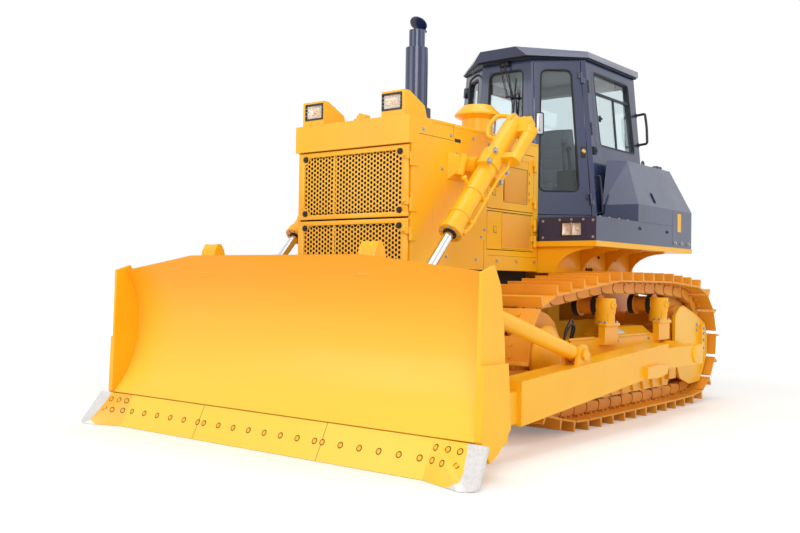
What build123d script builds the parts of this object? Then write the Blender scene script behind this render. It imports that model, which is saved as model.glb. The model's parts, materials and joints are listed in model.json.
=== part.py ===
from build123d import *
from math import atan2, cos, hypot, pi, radians, sin, tan
import os

# A crawler bulldozer with a straight tilt blade, in millimetres.
# X points forward, Y to the machine's left, Z up. The floor is at Z = 0.

os.makedirs("parts", exist_ok=True)

# Hinges
KNUCKLE_RADIUS = 13.0
KNUCKLE_HALF = 24.0
PIN_RADIUS = 6.0
LEAF = 8.0

# Clearances
RUN = 0.3
SLIDE = 0.05
PANEL_GAP = 6.0
SHUT_LINE = 6.0

# Track
TRACK_Y = 1000.0
SHOE_WIDTH = 560.0
SHOE_COUNT = 38
SHOE_GAP = 8.0
RAIL_DEPTH = 60.0
RAIL_INNER = 70.0
RAIL_OUTER = 110.0
SHOE_BASE = 44.0
SHOE_PLATE = 15.0
GROUSER_TIP = 130.0
GROUSER_ROOT = 30.0
GROUSER_EDGE = 18.0
SPROCKET_X = -1985.0
SPROCKET_Z = 608.0
SPROCKET_PITCH_RADIUS = 468.0
SPROCKET_TEETH = 27
IDLER_X = 745.0
IDLER_Z = 600.0
IDLER_PITCH_RADIUS = 400.0
ROLLER_RADIUS = 110.0
ROLLER_XS = (-1470.0, -1090.0, -720.0, -350.0, 20.0, 400.0)
CARRIER_RADIUS = 95.0
CARRIER_XS = (-260.0, -1350.0)
CARRIER_Z = 962.0

# Lift geometry
ARM_PIVOT_X = -1425.0
ARM_PIVOT_Z = 520.0
ARM_INNER_Y = TRACK_Y + 340
ARM_OUTER_Y = TRACK_Y + 540
LIFT_Y = 775.0
TRUNNION_X = 945.0
TRUNNION_Z = 2031.0
ROD_PIN_X = 2068.0
ROD_PIN_Z = 832.0
BARREL_RADIUS = 77.5
BARREL_BORE = 60.0
ROD_RADIUS = 35.0
BARREL_TOP = -455.0
BARREL_END = 742.0
EYE_RADIUS = 62.0
EYE_HALF_WIDTH = 42.0
LUG_NEAR_Y = 715.0
LUG_FAR_Y = 835.0
LUG_HALF = 12.0
PIN_HEAD = 26.0

# Braces from the push arms to the blade's back
BRACE_LOW = (785.0, 627.0)
BRACE_HIGH = (2165.0, 1005.0)
BRACE_Y = (ARM_INNER_Y + ARM_OUTER_Y) / 2
BRACE_EYE = 58.0
BRACE_EYE_HALF = 40.0
EAR_THICK = 26.0

# Blade
BLADE_HALF = 1735.0
EDGE_LOW_Z = 3.0
EDGE_LOW_X = 2629.0
EDGE_TOP_X = 2516.0
EDGE_TOP_Z = 230.0
EDGE_THICK = 28.0
EDGE_HALF = BLADE_HALF - 291
BIT_HALF = BLADE_HALF + 127
MOLDBOARD_THICK = 22.0
BLADE_TOP_Z = 1307.0
BLADE_CORNER_Z = 1197.0
BLADE_SHOULDER_Y = 820.0
FACE_RADIUS = 768.0
FACE_CENTRE_X = 3045.0
FACE_CENTRE_Z = 777.0
FACE_LOW_Z = 233.0
PLATE_FIT = 0.3

# Hood and radiator guard
HOOD_HALF = 566.0
HOOD_TOP = 2338.0
HOOD_REAR_X = -143.0
HOOD_SHEET = 12.0
GUARD_FRONT_X = 1665.0
GUARD_REAR_X = 1380.0
CAP_FRONT_X = 1675.0
CAP_LOW_Z = 2134.0
GRILLE_X = 1640.0
GRILLE_THICK = 14.0
GRILLE_SPLIT_Z = 1601.0
GRILLE_LOW_Z = 960.0
GRILLE_TOP_Z = 2126.0
GRILLE_HALF = 548.0
HOLE_SIZE = 27.0
HOLE_PITCH = 76.0

# Cab
CAB_LOW_Z = 1703.0
CAB_TOP_Z = 3205.0
WALL = 45.0
CAB_LOW = ((-463, 341), (-813, 798), (-1855, 798))
CAB_TOP = ((-509, 262), (-810, 655), (-1845, 655))
GLASS = 6.0

# Fenders
FENDER_OUT_Y = 1140.0
FENDER_LOW_Z = 1455.0
FENDER_TOP_Z = 1500.0
FENDER_FRONT_X = -110.0
FENDER_REAR_X = -2190.0
CASE_HALF = 480.0


def block(x0, x1, y0, y1, z0, z1):
    """A box between two corners."""
    return Pos((x0 + x1) / 2, (y0 + y1) / 2, (z0 + z1) / 2) * Box(x1 - x0, y1 - y0, z1 - z0)


def whole(solid):
    """A part that holds one solid."""
    return Part(Compound([solid]).wrapped)


def prism(points, along):
    """A flat outline pushed along a vector."""
    face = Face(Wire.make_polygon([Vector(*p) for p in points], close=True))
    return whole(Solid.extrude(face, Vector(*along)))


def side_plate(outline, y0, y1):
    """A plate whose outline is given in X and Z."""
    return prism([(x, y0, z) for x, z in outline], (0, y1 - y0, 0))


def cross_plate(outline, x0, x1):
    """A plate whose outline is given in Y and Z."""
    return prism([(x0, y, z) for y, z in outline], (x1 - x0, 0, 0))


def floor_plate(outline, z0, z1):
    """A plate whose outline is given in X and Y."""
    return prism([(x, y, z0) for x, y in outline], (0, 0, z1 - z0))


def flat(points):
    """Whether four points lie in one plane."""
    a, b, c, d = [Vector(*p) for p in points]
    normal = (b - a).cross(c - a).normalized()
    return abs(normal.dot(d - a)) < 1e-4


def between(low, top):
    """A closed body between two outlines that have the same number of corners."""
    count = len(low)
    faces = []
    for ring in (low, top):
        if count == 4 and flat(ring):
            faces.append(ring)
        elif all(abs(p[2] - ring[0][2]) < 1e-6 for p in ring):
            faces.append(ring)
        else:
            faces.extend([ring[0], ring[n], ring[n + 1]] for n in range(1, count - 1))
    for n in range(count):
        m = (n + 1) % count
        quad = [low[n], low[m], top[m], top[n]]
        if flat(quad):
            faces.append(quad)
        else:
            faces.append([low[n], low[m], top[m]])
            faces.append([low[n], top[m], top[n]])
    shell = Shell([Face(Wire.make_polygon([Vector(*p) for p in face], close=True)) for face in faces])
    solid = Solid(shell)
    return whole(solid.fix())


def bar(start, end, radius):
    """A round bar between two points."""
    way = Vector(*end) - Vector(*start)
    plane = Plane(origin=start, z_dir=(way.X, way.Y, way.Z))
    return whole(Solid.make_cylinder(radius, way.length, plane))


def turned(steps):
    """A round piece about the upright axis, from the radius and height of each step."""
    face = Face(Wire.make_polygon([Vector(radius, 0, z) for radius, z in steps], close=True))
    return whole(Solid.revolve(face, 360, Axis.Z))


def cross_bar(x, z, radius, y0, y1):
    """A round bar along Y."""
    return bar((x, y0, z), (x, y1, z), radius)


def join(*shapes):
    """One body out of pieces that touch."""
    return Part() + list(shapes)


def both(shape):
    """A shape and its mirror image on the machine's other side."""
    return [shape, shape.mirror(Plane.XZ)]


def leaf(foot, axis, toward, reach, half_length, thick):
    """A flat hinge leaf from a point on the hinge line towards a panel."""
    side = axis.cross(toward).normalized() * (thick / 2)
    along = axis * half_length
    corners = [foot - along - side, foot + along - side, foot + along + side, foot - along + side]
    return prism([(p.X, p.Y, p.Z) for p in corners], tuple(toward * reach))


def hinge(place, axis, to_door, to_carrier, door_reach, carrier_reach):
    """A knuckle for the door and a pin with its own foot for the carrier."""
    foot = Vector(*place)
    up = Vector(*axis).normalized()
    knuckle = bar(tuple(foot + up * RUN), tuple(foot + up * (2 * KNUCKLE_HALF)), KNUCKLE_RADIUS)
    knuckle = join(knuckle, leaf(
        foot + up * (KNUCKLE_HALF + RUN / 2), up, Vector(*to_door).normalized(), door_reach,
        KNUCKLE_HALF - RUN / 2, LEAF,
    ))
    knuckle = knuckle - bar(tuple(foot), tuple(foot + up * (2 * KNUCKLE_HALF + 1)), PIN_RADIUS + RUN)
    base = join(
        bar(tuple(foot - up * (2 * KNUCKLE_HALF)), tuple(foot), KNUCKLE_RADIUS),
        leaf(foot - up * KNUCKLE_HALF, up, Vector(*to_carrier).normalized(), carrier_reach, KNUCKLE_HALF, LEAF),
        bar(tuple(foot), tuple(foot + up * (2 * KNUCKLE_HALF + 6)), PIN_RADIUS),
    )
    return knuckle, base


def mirrored(shape):
    """The same piece on the machine's other side."""
    return shape.mirror(Plane.XZ)


def save(name, *shapes):
    """Write one node, from solids that don't touch each other."""
    solids = [solid for shape in shapes for solid in shape.solids()]
    export_step(Compound(solids) if len(solids) > 1 else solids[0], "parts/%s.step" % name)


def save_pair(name, *shapes):
    """Write the left-hand node and its mirror image."""
    save(name + "_left", *shapes)
    save(name + "_right", *[mirrored(shape) for shape in shapes])


# Track loop: the pin line runs round these circles, given as X, Z and radius
def pin_line():
    """Points along the closed line of the track pins."""
    circles = [(SPROCKET_X, SPROCKET_Z, SPROCKET_PITCH_RADIUS)]
    for x in (ROLLER_XS[0], ROLLER_XS[-1]):
        circles.append((x, GROUSER_TIP + RAIL_DEPTH + ROLLER_RADIUS, ROLLER_RADIUS + RAIL_DEPTH))
    circles.append((IDLER_X, IDLER_Z, IDLER_PITCH_RADIUS))
    for x in CARRIER_XS:
        circles.append((x, CARRIER_Z, CARRIER_RADIUS + RAIL_DEPTH))
    starts = []
    for n, (x0, z0, r0) in enumerate(circles):
        x1, z1, r1 = circles[(n + 1) % len(circles)]
        reach = hypot(x1 - x0, z1 - z0)
        heading = atan2(z1 - z0, x1 - x0)
        tilt = (r0 - r1) / reach
        normal = heading - pi / 2 + atan2(tilt, (1 - tilt * tilt) ** 0.5)
        starts.append(normal)
    points = []
    for n, (x, z, r) in enumerate(circles):
        begin = starts[n - 1]
        end = starts[n]
        while end < begin - 1e-9:
            end += 2 * pi
        steps = max(2, int((end - begin) / radians(1.0)))
        for k in range(steps + 1):
            angle = begin + (end - begin) * k / steps
            points.append((x + r * cos(angle), z + r * sin(angle)))
    return points


def spread(points, count):
    """Places at equal distances along a closed line."""
    ring = points + [points[0]]
    lengths = [hypot(b[0] - a[0], b[1] - a[1]) for a, b in zip(ring, ring[1:])]
    step = sum(lengths) / count
    places = []
    travelled = 0.0
    for a, b, length in zip(ring, ring[1:], lengths):
        while len(places) < count and len(places) * step <= travelled + length:
            share = (len(places) * step - travelled) / max(length, 1e-9)
            places.append((a[0] + (b[0] - a[0]) * share, a[1] + (b[1] - a[1]) * share))
        travelled += length
    return places, step


PINS, PITCH = spread(pin_line(), SHOE_COUNT)
HALF = PITCH / 2 - SHOE_GAP / 2
RAIL_SHORT = HALF - RAIL_DEPTH * tan(PITCH / IDLER_PITCH_RADIUS / 2)
SHOE_SECTION = (
    (-HALF, SHOE_BASE), (HALF, SHOE_BASE), (HALF, SHOE_BASE + SHOE_PLATE),
    (-HALF + GROUSER_ROOT, SHOE_BASE + SHOE_PLATE), (-HALF + GROUSER_EDGE, GROUSER_TIP),
    (-HALF, GROUSER_TIP),
)


def rail_section(start, end):
    """A rail's outline: it meets its neighbours at the pins."""
    reach = hypot(end[0] - start[0], end[1] - start[1]) / 2
    return (
        (-reach, 0), (-RAIL_SHORT, -RAIL_DEPTH), (RAIL_SHORT, -RAIL_DEPTH), (reach, 0),
        (HALF, SHOE_BASE), (-HALF, SHOE_BASE),
    )


def placed(section, start, end):
    """A link section carried to its place between two pins."""
    length = hypot(end[0] - start[0], end[1] - start[1])
    along = ((end[0] - start[0]) / length, (end[1] - start[1]) / length)
    outward = (along[1], -along[0])
    middle = ((start[0] + end[0]) / 2, (start[1] + end[1]) / 2)
    return [
        (middle[0] + u * along[0] + n * outward[0], middle[1] + u * along[1] + n * outward[1])
        for u, n in section
    ]


RAIL_OUTLINES = [placed(rail_section(start, end), start, end) for start, end in zip(PINS, PINS[1:] + PINS[:1])]


def rail_reach(x, z):
    """The distance from a roller's centre to the nearest rail."""
    best = 1e9
    for outline in RAIL_OUTLINES:
        for a, b in zip(outline, outline[1:] + outline[:1]):
            run = (b[0] - a[0], b[1] - a[1])
            share = ((x - a[0]) * run[0] + (z - a[1]) * run[1]) / (run[0] ** 2 + run[1] ** 2)
            share = min(max(share, 0.0), 1.0)
            best = min(best, hypot(a[0] + run[0] * share - x, a[1] + run[1] * share - z))
    return best


links = []
for start, end, rail_outline in zip(PINS, PINS[1:] + PINS[:1], RAIL_OUTLINES):
    shoe = side_plate(placed(SHOE_SECTION, start, end), TRACK_Y - SHOE_WIDTH / 2, TRACK_Y + SHOE_WIDTH / 2)
    rails = [
        side_plate(rail_outline, TRACK_Y + y0, TRACK_Y + y1)
        for y0, y1 in ((-RAIL_OUTER, -RAIL_INNER), (RAIL_INNER, RAIL_OUTER))
    ]
    links.append(join(shoe, *rails))
save_pair("track", *links)

# Sprocket with its teeth between the rails, in step with the pins
tooth_step = 2 * pi / SPROCKET_TEETH
nearest_pin = min(PINS, key=lambda p: abs(p[1] - SPROCKET_Z) + (1e4 if p[0] > SPROCKET_X else 0))
first_gap = atan2(nearest_pin[1] - SPROCKET_Z, nearest_pin[0] - SPROCKET_X)
TOOTH_ROOT = SPROCKET_PITCH_RADIUS - 42
TOOTH_TIP = SPROCKET_PITCH_RADIUS + 14
ring_outline = []
for n in range(SPROCKET_TEETH):
    centre = first_gap + tooth_step * (n + 0.5)
    for turn, radius in ((-0.34, TOOTH_ROOT), (-0.13, TOOTH_TIP), (0.13, TOOTH_TIP), (0.34, TOOTH_ROOT)):
        angle = centre + turn * tooth_step
        ring_outline.append((SPROCKET_X + radius * cos(angle), SPROCKET_Z + radius * sin(angle)))
sprocket = join(
    side_plate(ring_outline, TRACK_Y - 40, TRACK_Y + 40),
    cross_bar(SPROCKET_X, SPROCKET_Z, 330, TRACK_Y + 40, TRACK_Y + 75),
    cross_bar(SPROCKET_X, SPROCKET_Z, 250, TRACK_Y + 75, TRACK_Y + 118),
)
save("sprockets", *both(sprocket))
final_drive = join(
    cross_bar(SPROCKET_X, SPROCKET_Z, 260, CASE_HALF, TRACK_Y - 360),
    cross_bar(SPROCKET_X, SPROCKET_Z, 340, TRACK_Y - 360, TRACK_Y - 40 - PANEL_GAP),
    cross_bar(SPROCKET_X, SPROCKET_Z, 250, TRACK_Y - 40 - PANEL_GAP, TRACK_Y - 40),
)

# Idler, track rollers and carrier rollers
RAIL_GAP = 0.4
idler_tread = rail_reach(IDLER_X, IDLER_Z) - RAIL_GAP
idler = join(
    cross_bar(IDLER_X, IDLER_Z, idler_tread, TRACK_Y - RAIL_OUTER, TRACK_Y + RAIL_OUTER),
    cross_bar(IDLER_X, IDLER_Z, idler_tread + 20, TRACK_Y - RAIL_INNER + 6, TRACK_Y + RAIL_INNER - 6),
    cross_bar(IDLER_X, IDLER_Z, 75, TRACK_Y - 140, TRACK_Y + 140),
)
save("idlers", *both(idler))

rollers = []
ROLLER_Z = GROUSER_TIP + RAIL_DEPTH + ROLLER_RADIUS + RAIL_GAP
for x in ROLLER_XS:
    tread = min(ROLLER_RADIUS, rail_reach(x, ROLLER_Z) - RAIL_GAP)
    rollers.append(join(
        cross_bar(x, ROLLER_Z, tread, TRACK_Y - RAIL_OUTER - 6, TRACK_Y - RAIL_INNER + 6),
        cross_bar(x, ROLLER_Z, tread, TRACK_Y + RAIL_INNER - 6, TRACK_Y + RAIL_OUTER + 6),
        cross_bar(x, ROLLER_Z, ROLLER_RADIUS + 16, TRACK_Y + RAIL_OUTER + 6, TRACK_Y + RAIL_OUTER + 20),
        cross_bar(x, ROLLER_Z, ROLLER_RADIUS + 16, TRACK_Y - RAIL_OUTER - 20, TRACK_Y - RAIL_OUTER - 6),
        cross_bar(x, ROLLER_Z, 70, TRACK_Y - 150, TRACK_Y + 150),
    ))
save("track_rollers", *[piece for roller in rollers for piece in both(roller)])

carriers = []
for x in CARRIER_XS:
    tread = rail_reach(x, CARRIER_Z) - RAIL_GAP
    carriers.append(join(
        cross_bar(x, CARRIER_Z, tread, TRACK_Y + 62, TRACK_Y + 116),
        cross_bar(x, CARRIER_Z, tread, TRACK_Y - 116, TRACK_Y - 62),
        cross_bar(x, CARRIER_Z, CARRIER_RADIUS - 22, TRACK_Y - 62, TRACK_Y + 62),
        cross_bar(x, CARRIER_Z, 50, TRACK_Y + 116, TRACK_Y + 154),
    ))
save("carrier_rollers", *[piece for roller in carriers for piece in both(roller)])

# Track frame: a box beam between the runs, with guards, posts and the blade arm's trunnion
FRAME_IN_Y = TRACK_Y - 162
FRAME_OUT_Y = TRACK_Y + 162
beam = side_plate(
    ((-1480, 440), (390, 440), (390, 640), (330, 700), (-1300, 700), (-1480, 640)), FRAME_IN_Y, FRAME_OUT_Y
)
top_cover = cross_plate(
    ((FRAME_IN_Y + 20, 700), (FRAME_OUT_Y, 700), (FRAME_OUT_Y - 90, 770), (FRAME_IN_Y + 110, 770)), -1180, -420
)
frame_pieces = [beam, top_cover]
for y0, y1 in ((FRAME_IN_Y, FRAME_IN_Y + 12), (FRAME_OUT_Y - 12, FRAME_OUT_Y)):
    frame_pieces.append(side_plate(
        ((-1600, 440), (-1600, 290), (-1560, 205), (460, 205), (520, 300), (520, 440)), y0, y1
    ))
for y0, y1 in ((FRAME_IN_Y + 12, FRAME_IN_Y + 22), (FRAME_OUT_Y - 22, FRAME_OUT_Y - 12)):
    frame_pieces.append(block(390, 1000, y0 - 0, y1, 540, 660))
for x in CARRIER_XS:
    frame_pieces.append(block(x - 120, x + 120, FRAME_OUT_Y - 8, FRAME_OUT_Y + 52, 640, 812))
    frame_pieces.append(block(x - 62, x + 62, FRAME_OUT_Y - 8, FRAME_OUT_Y + 52, 812, 1015))
trunnion_pad = cross_bar(ARM_PIVOT_X, ARM_PIVOT_Z, 110, FRAME_OUT_Y, ARM_INNER_Y - PANEL_GAP)
trunnion_pin = cross_bar(ARM_PIVOT_X, ARM_PIVOT_Z, 60, FRAME_OUT_Y, ARM_OUTER_Y - 60)
track_frame = join(*frame_pieces, trunnion_pad, trunnion_pin)
save("track_frames", *both(track_frame))

# Guard plate over the sprocket's outer side
COVER_IN_Y = TRACK_Y + 170
COVER_OUT_Y = TRACK_Y + 200
cover_outline = (
    (-1640, 620), (-1640, 850), (-1740, 925), (-1830, 940), (-2150, 850), (-2380, 760), (-2450, 640),
    (-2450, 470), (-2360, 330), (-2250, 200), (-1990, 190), (-1760, 260), (-1640, 440),
)
sprocket_cover = join(
    side_plate(cover_outline, COVER_IN_Y, COVER_OUT_Y),
    block(-2310, -2235, COVER_OUT_Y, COVER_OUT_Y + 34, 480, 745),
    block(-1660, -1500, FRAME_OUT_Y, COVER_OUT_Y, 265, 425),
)
idler_cover = join(
    cross_bar(IDLER_X, IDLER_Z, 225, TRACK_Y + 150, TRACK_Y + 180),
    block(IDLER_X - 250, IDLER_X + 90, TRACK_Y + 150, TRACK_Y + 180, 515, 690),
)
save("track_covers", *both(sprocket_cover), *both(idler_cover))

# Main frame
HITCH_END_X = -2738.0
DRAWBAR_X = -2660.0
frame_rail = block(-1500, GUARD_REAR_X, CASE_HALF - 130, CASE_HALF, 470, 800)
belly = block(-1500, 1320, -CASE_HALF, CASE_HALF, 440, 470)
front_tie = block(1300, GUARD_REAR_X, -CASE_HALF + 130, CASE_HALF - 130, 470, 800)
engine_seat = block(180, 330, -CASE_HALF, CASE_HALF, 800, 830)
save("main_frame", join(*both(frame_rail), belly, front_tie, engine_seat))

# Bars that carry the frame on the track frames
equalizer_end = block(180, 330, CASE_HALF, FRAME_IN_Y + 90, 700, 830)
pivot_stub = cross_bar(-1400, 600, 60, CASE_HALF, FRAME_IN_Y)
save("cross_bars", *both(equalizer_end), *both(pivot_stub))

# Rear case with the cab's mounting frame, and the final drives on its sides
MOUNT_Z = FENDER_LOW_Z - 120
RIPPER_BOLT_Y = 330.0
RIPPER_BOLT_Z = (560.0, 1100.0)
bolt_holes = [
    bar((-2261, y, z), (-2180, y, z), 17) for y in (-RIPPER_BOLT_Y, RIPPER_BOLT_Y) for z in RIPPER_BOLT_Z
]
rear_case = block(-2260, -1500, -CASE_HALF, CASE_HALF, 430, MOUNT_Z)
crossmember = block(FENDER_REAR_X, -440, -CASE_HALF, CASE_HALF, MOUNT_Z, FENDER_LOW_Z)
cab_mount = block(-700, -500, -CASE_HALF, CASE_HALF, 800, MOUNT_Z)
save("rear_case", join(rear_case, crossmember, cab_mount) - bolt_holes)
save("final_drives", *both(final_drive))

# Drawbar: two plates with a pin hole behind the case
hitch_plates = [block(HITCH_END_X, -2260, -150, 150, z, z + 40) for z in (470, 600)]
hitch_back = block(-2300, -2260, -150, 150, 510, 600)
hitch_hole = bar((DRAWBAR_X, 0, 400), (DRAWBAR_X, 0, 700), 28)
save("drawbar", join(*hitch_plates, hitch_back) - hitch_hole)

save("engine_block", block(-400, 1000, -300, 300, 830, 1650))
save("radiator_core", block(1430, 1560, -HOOD_HALF + 30, HOOD_HALF - 30, 900, 2080))

# Radiator guard: side walls, top cap and a lower nose
guard_pieces = []
for y0, y1 in ((-HOOD_HALF, -HOOD_HALF + 30), (HOOD_HALF - 30, HOOD_HALF)):
    guard_pieces.append(side_plate(
        ((GUARD_REAR_X, 800), (1560, 800), (GRILLE_X - PANEL_GAP, 960), (GRILLE_X - PANEL_GAP, CAP_LOW_Z),
         (GUARD_REAR_X, CAP_LOW_Z)), y0, y1
    ))
guard_pieces.append(block(GUARD_REAR_X, CAP_FRONT_X, -HOOD_HALF, HOOD_HALF, CAP_LOW_Z, HOOD_TOP))
guard_pieces.append(block(GUARD_REAR_X, 1560, -CASE_HALF - 56, CASE_HALF + 56, 800, 900))
radiator_guard = join(*guard_pieces)


def grille(z0, z1):
    """A perforated door with rows of six-sided holes inside a plain rim."""
    door = block(GRILLE_X, GRILLE_X + GRILLE_THICK, -GRILLE_HALF, GRILLE_HALF, z0, z1)
    rows = int((z1 - z0 - 100) / (HOLE_PITCH * 0.866))
    cols = int((2 * GRILLE_HALF - 110) / HOLE_PITCH)
    low = (z0 + z1) / 2 - (rows - 1) / 2 * HOLE_PITCH * 0.866
    holes = []
    for row in range(rows):
        shift = 0.5 if row % 2 else 0.0
        for col in range(cols - (row % 2)):
            y = (col + shift - (cols - 1) / 2) * HOLE_PITCH
            z = low + row * HOLE_PITCH * 0.866
            corners = [
                (y + HOLE_SIZE * cos(k * pi / 3 + pi / 6), z + HOLE_SIZE * sin(k * pi / 3 + pi / 6))
                for k in range(6)
            ]
            holes.append(cross_plate(corners, GRILLE_X - 1, GRILLE_X + GRILLE_THICK + 1))
    return door - holes


GRILLE_HINGE = (GRILLE_X + GRILLE_THICK / 2, HOOD_HALF + 4)
grille_hinges = {"upper": (1690, 2020), "lower": (1060, 1480)}
grille_spans = {
    "upper": (GRILLE_SPLIT_Z + SHUT_LINE, GRILLE_TOP_Z), "lower": (GRILLE_LOW_Z, GRILLE_SPLIT_Z - SHUT_LINE),
}
guard_feet = []
for level, span in grille_spans.items():
    door = grille(*span)
    for z in grille_hinges[level]:
        knuckle, base = hinge((*GRILLE_HINGE, z), (0, 0, 1), (0, -1, 0), (-1, 0, 0), 24, 30)
        door = join(door, knuckle)
        guard_feet.append(base)
    save("grille_" + level, door)

guard_feet = [
    join(foot, block(GRILLE_X - 60, GRILLE_X - 20, HOOD_HALF, GRILLE_HINGE[1] + 4, z - 48, z))
    for foot, z in zip(guard_feet, [z for level in grille_hinges for z in grille_hinges[level]])
]
save("radiator_guard", join(radiator_guard, *guard_feet))

# Hood: a folded sheet over the engine, with openings for the side doors
DOOR_FRONT_X = 655.0
DOOR_REAR_X = -75.0
UPPER_DOOR_Z = (1735.0, 2229.0)
LOWER_DOOR_Z = (1404.0, 1720.0)
hood_top = block(HOOD_REAR_X, GUARD_REAR_X, -HOOD_HALF, HOOD_HALF, HOOD_TOP - HOOD_SHEET, HOOD_TOP)
hood_sides = [
    block(HOOD_REAR_X, GUARD_REAR_X, y0, y0 + HOOD_SHEET, 1240, HOOD_TOP - HOOD_SHEET)
    for y0 in (-HOOD_HALF, HOOD_HALF - HOOD_SHEET)
]
save("hood_top", hood_top)
hood = Part() + hood_sides
for z0, z1 in (UPPER_DOOR_Z, LOWER_DOOR_Z):
    hood = hood - block(DOOR_REAR_X, DOOR_FRONT_X, -600, 600, z0, z1)
STACK_X = 865.0
CLEANER_X = -37.0
DOOR_HINGE = (DOOR_REAR_X + SHUT_LINE / 2, HOOD_HALF + KNUCKLE_RADIUS + 1)
hood_feet = []
for level, (z0, z1) in (("upper", UPPER_DOOR_Z), ("lower", LOWER_DOOR_Z)):
    panel = block(
        DOOR_REAR_X + SHUT_LINE, DOOR_FRONT_X - SHUT_LINE, HOOD_HALF - HOOD_SHEET, HOOD_HALF,
        z0 + SHUT_LINE, z1 - SHUT_LINE,
    )
    recess = block(
        DOOR_REAR_X + 90, DOOR_FRONT_X - 240, HOOD_HALF - 5, HOOD_HALF + 1, z0 + 70, z1 - 60
    )
    door = panel - recess
    for z in (z0 + 90, z1 - 90):
        knuckle, base = hinge((*DOOR_HINGE, z), (0, 0, 1), (1, 0, 0), (-1, 0, 0), 34, 30)
        ear = block(DOOR_HINGE[0] + 20, DOOR_HINGE[0] + 34, HOOD_HALF, DOOR_HINGE[1] - LEAF / 2, z + RUN, z + 48)
        foot = block(
            DOOR_HINGE[0] - 30, DOOR_HINGE[0] - 16, HOOD_HALF, DOOR_HINGE[1] - LEAF / 2, z - 48, z
        )
        door = join(door, knuckle, ear)
        hood_feet.extend(both(join(base, foot)))
    save_pair("engine_door_" + level, door)
save("hood_sides", join(hood, *hood_feet))

# Head lamps on the hood's front
lamp_outline = ((1380, HOOD_TOP), (1657, HOOD_TOP), (1657, 2525), (1600, 2525), (1420, 2440))
housing = side_plate(lamp_outline, 290, 508)
window = block(1640, 1660, 307, 470, 2396, 2495)
head_lamps = housing - window
save("head_lamps", *both(head_lamps))
lens = block(1640, 1652, 310, 467, 2399, 2492)

# Exhaust stack, its flap and the pre-cleaner
stack = join(
    bar((STACK_X, 0, HOOD_TOP), (STACK_X, 0, 2550), 120),
    bar((STACK_X, 0, 2550), (STACK_X, 0, 3050), 92),
    bar((STACK_X, 0, 3050), (STACK_X, 0, 3196), 65.5),
) - bar((STACK_X, 0, 2700), (STACK_X, 0, 3200), 58)
FLAP_HINGE = (STACK_X - 84, 3204)
FLAP_OPEN = 38.0
stack_ear = join(
    block(FLAP_HINGE[0] - 10, STACK_X - 60, -12, 12, 3120, 3190),
    block(FLAP_HINGE[0] - 10, FLAP_HINGE[0] + 10, -12, 12, 3190, FLAP_HINGE[1]),
    cross_bar(*FLAP_HINGE, 10, -12, 12),
    cross_bar(*FLAP_HINGE, 6, -30, 30),
)
save("exhaust_stack", join(stack, stack_ear))
flap = join(
    bar((STACK_X, 0, 3200), (STACK_X, 0, 3208), 74),
    *[block(FLAP_HINGE[0], STACK_X - 40, y0, y0 + 14, 3200, 3208) for y0 in (-28, 14)],
    *[cross_bar(*FLAP_HINGE, 11, y0, y0 + 14) for y0 in (-28, 14)],
) - cross_bar(*FLAP_HINGE, 6 + RUN, -40, 40) - block(FLAP_HINGE[0] - 20, FLAP_HINGE[0] + 16, -13, 13, 3190, 3220)
flap = flap.rotate(Axis((FLAP_HINGE[0], 0, FLAP_HINGE[1]), (0, -1, 0)), FLAP_OPEN)
save("exhaust_flap", flap)
# Radius and height of each step of the pre-cleaner's profile
CLEANER_STEPS = (
    (0, HOOD_TOP), (150, HOOD_TOP), (150, 2356), (138, 2366), (138, 2586), (164, 2598), (206, 2618),
    (206, 2632), (182, 2662), (150, 2690), (130, 2712), (0, 2717),
)
save("precleaner", Pos(CLEANER_X, 0, 0) * turned(CLEANER_STEPS))

# Lift cylinder brackets: an arm from the hood's side with an upright pivot boss, bored for the barrel's stub
YOKE_IN = LIFT_Y - BARREL_RADIUS - 16
YOKE_THICK = 44.0
YOKE_HALF = 74.0
STUB_RADIUS = 34.0
PIVOT_X = TRUNNION_X + 148
PIVOT_Y = HOOD_HALF + 54
PIVOT_RADIUS = 36.0
PIVOT_LEAN = 30.0
WEB_HALF = 46.0


def upright_ring(x0, x1, y, z0, z1):
    """The corners of an upright rectangle that faces sideways."""
    return [(x0, y, z0), (x1, y, z0), (x1, y, z1), (x0, y, z1)]


bracket = join(
    between(
        upright_ring(TRUNNION_X - 120, PIVOT_X + 110, HOOD_HALF, TRUNNION_Z - 120, TRUNNION_Z + 90),
        upright_ring(TRUNNION_X - YOKE_HALF, PIVOT_X + 40, PIVOT_Y, TRUNNION_Z - WEB_HALF, TRUNNION_Z + WEB_HALF),
    ),
    block(TRUNNION_X, PIVOT_X, PIVOT_Y, YOKE_IN - YOKE_THICK, TRUNNION_Z - WEB_HALF, TRUNNION_Z + WEB_HALF),
    cross_bar(TRUNNION_X, TRUNNION_Z, YOKE_HALF, PIVOT_Y, YOKE_IN),
    bar((PIVOT_X - PIVOT_LEAN, PIVOT_Y, TRUNNION_Z + WEB_HALF + 26),
        (PIVOT_X + PIVOT_LEAN, PIVOT_Y, TRUNNION_Z - WEB_HALF - 44), PIVOT_RADIUS),
)
bracket = bracket - cross_bar(TRUNNION_X, TRUNNION_Z, STUB_RADIUS + RUN, PIVOT_Y - 20, YOKE_IN + 1)
save("lift_brackets", *both(bracket))

LIFT_LENGTH = hypot(ROD_PIN_X - TRUNNION_X, ROD_PIN_Z - TRUNNION_Z)
LIFT_WAY = ((ROD_PIN_X - TRUNNION_X) / LIFT_LENGTH, (ROD_PIN_Z - TRUNNION_Z) / LIFT_LENGTH)


def on_lift(distance, rise=0.0, y=LIFT_Y):
    """The point this far along the lift cylinder's axis from its trunnion and this far above the axis."""
    return (
        TRUNNION_X + LIFT_WAY[0] * distance - LIFT_WAY[1] * rise, y,
        TRUNNION_Z + LIFT_WAY[1] * distance + LIFT_WAY[0] * rise,
    )


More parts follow.
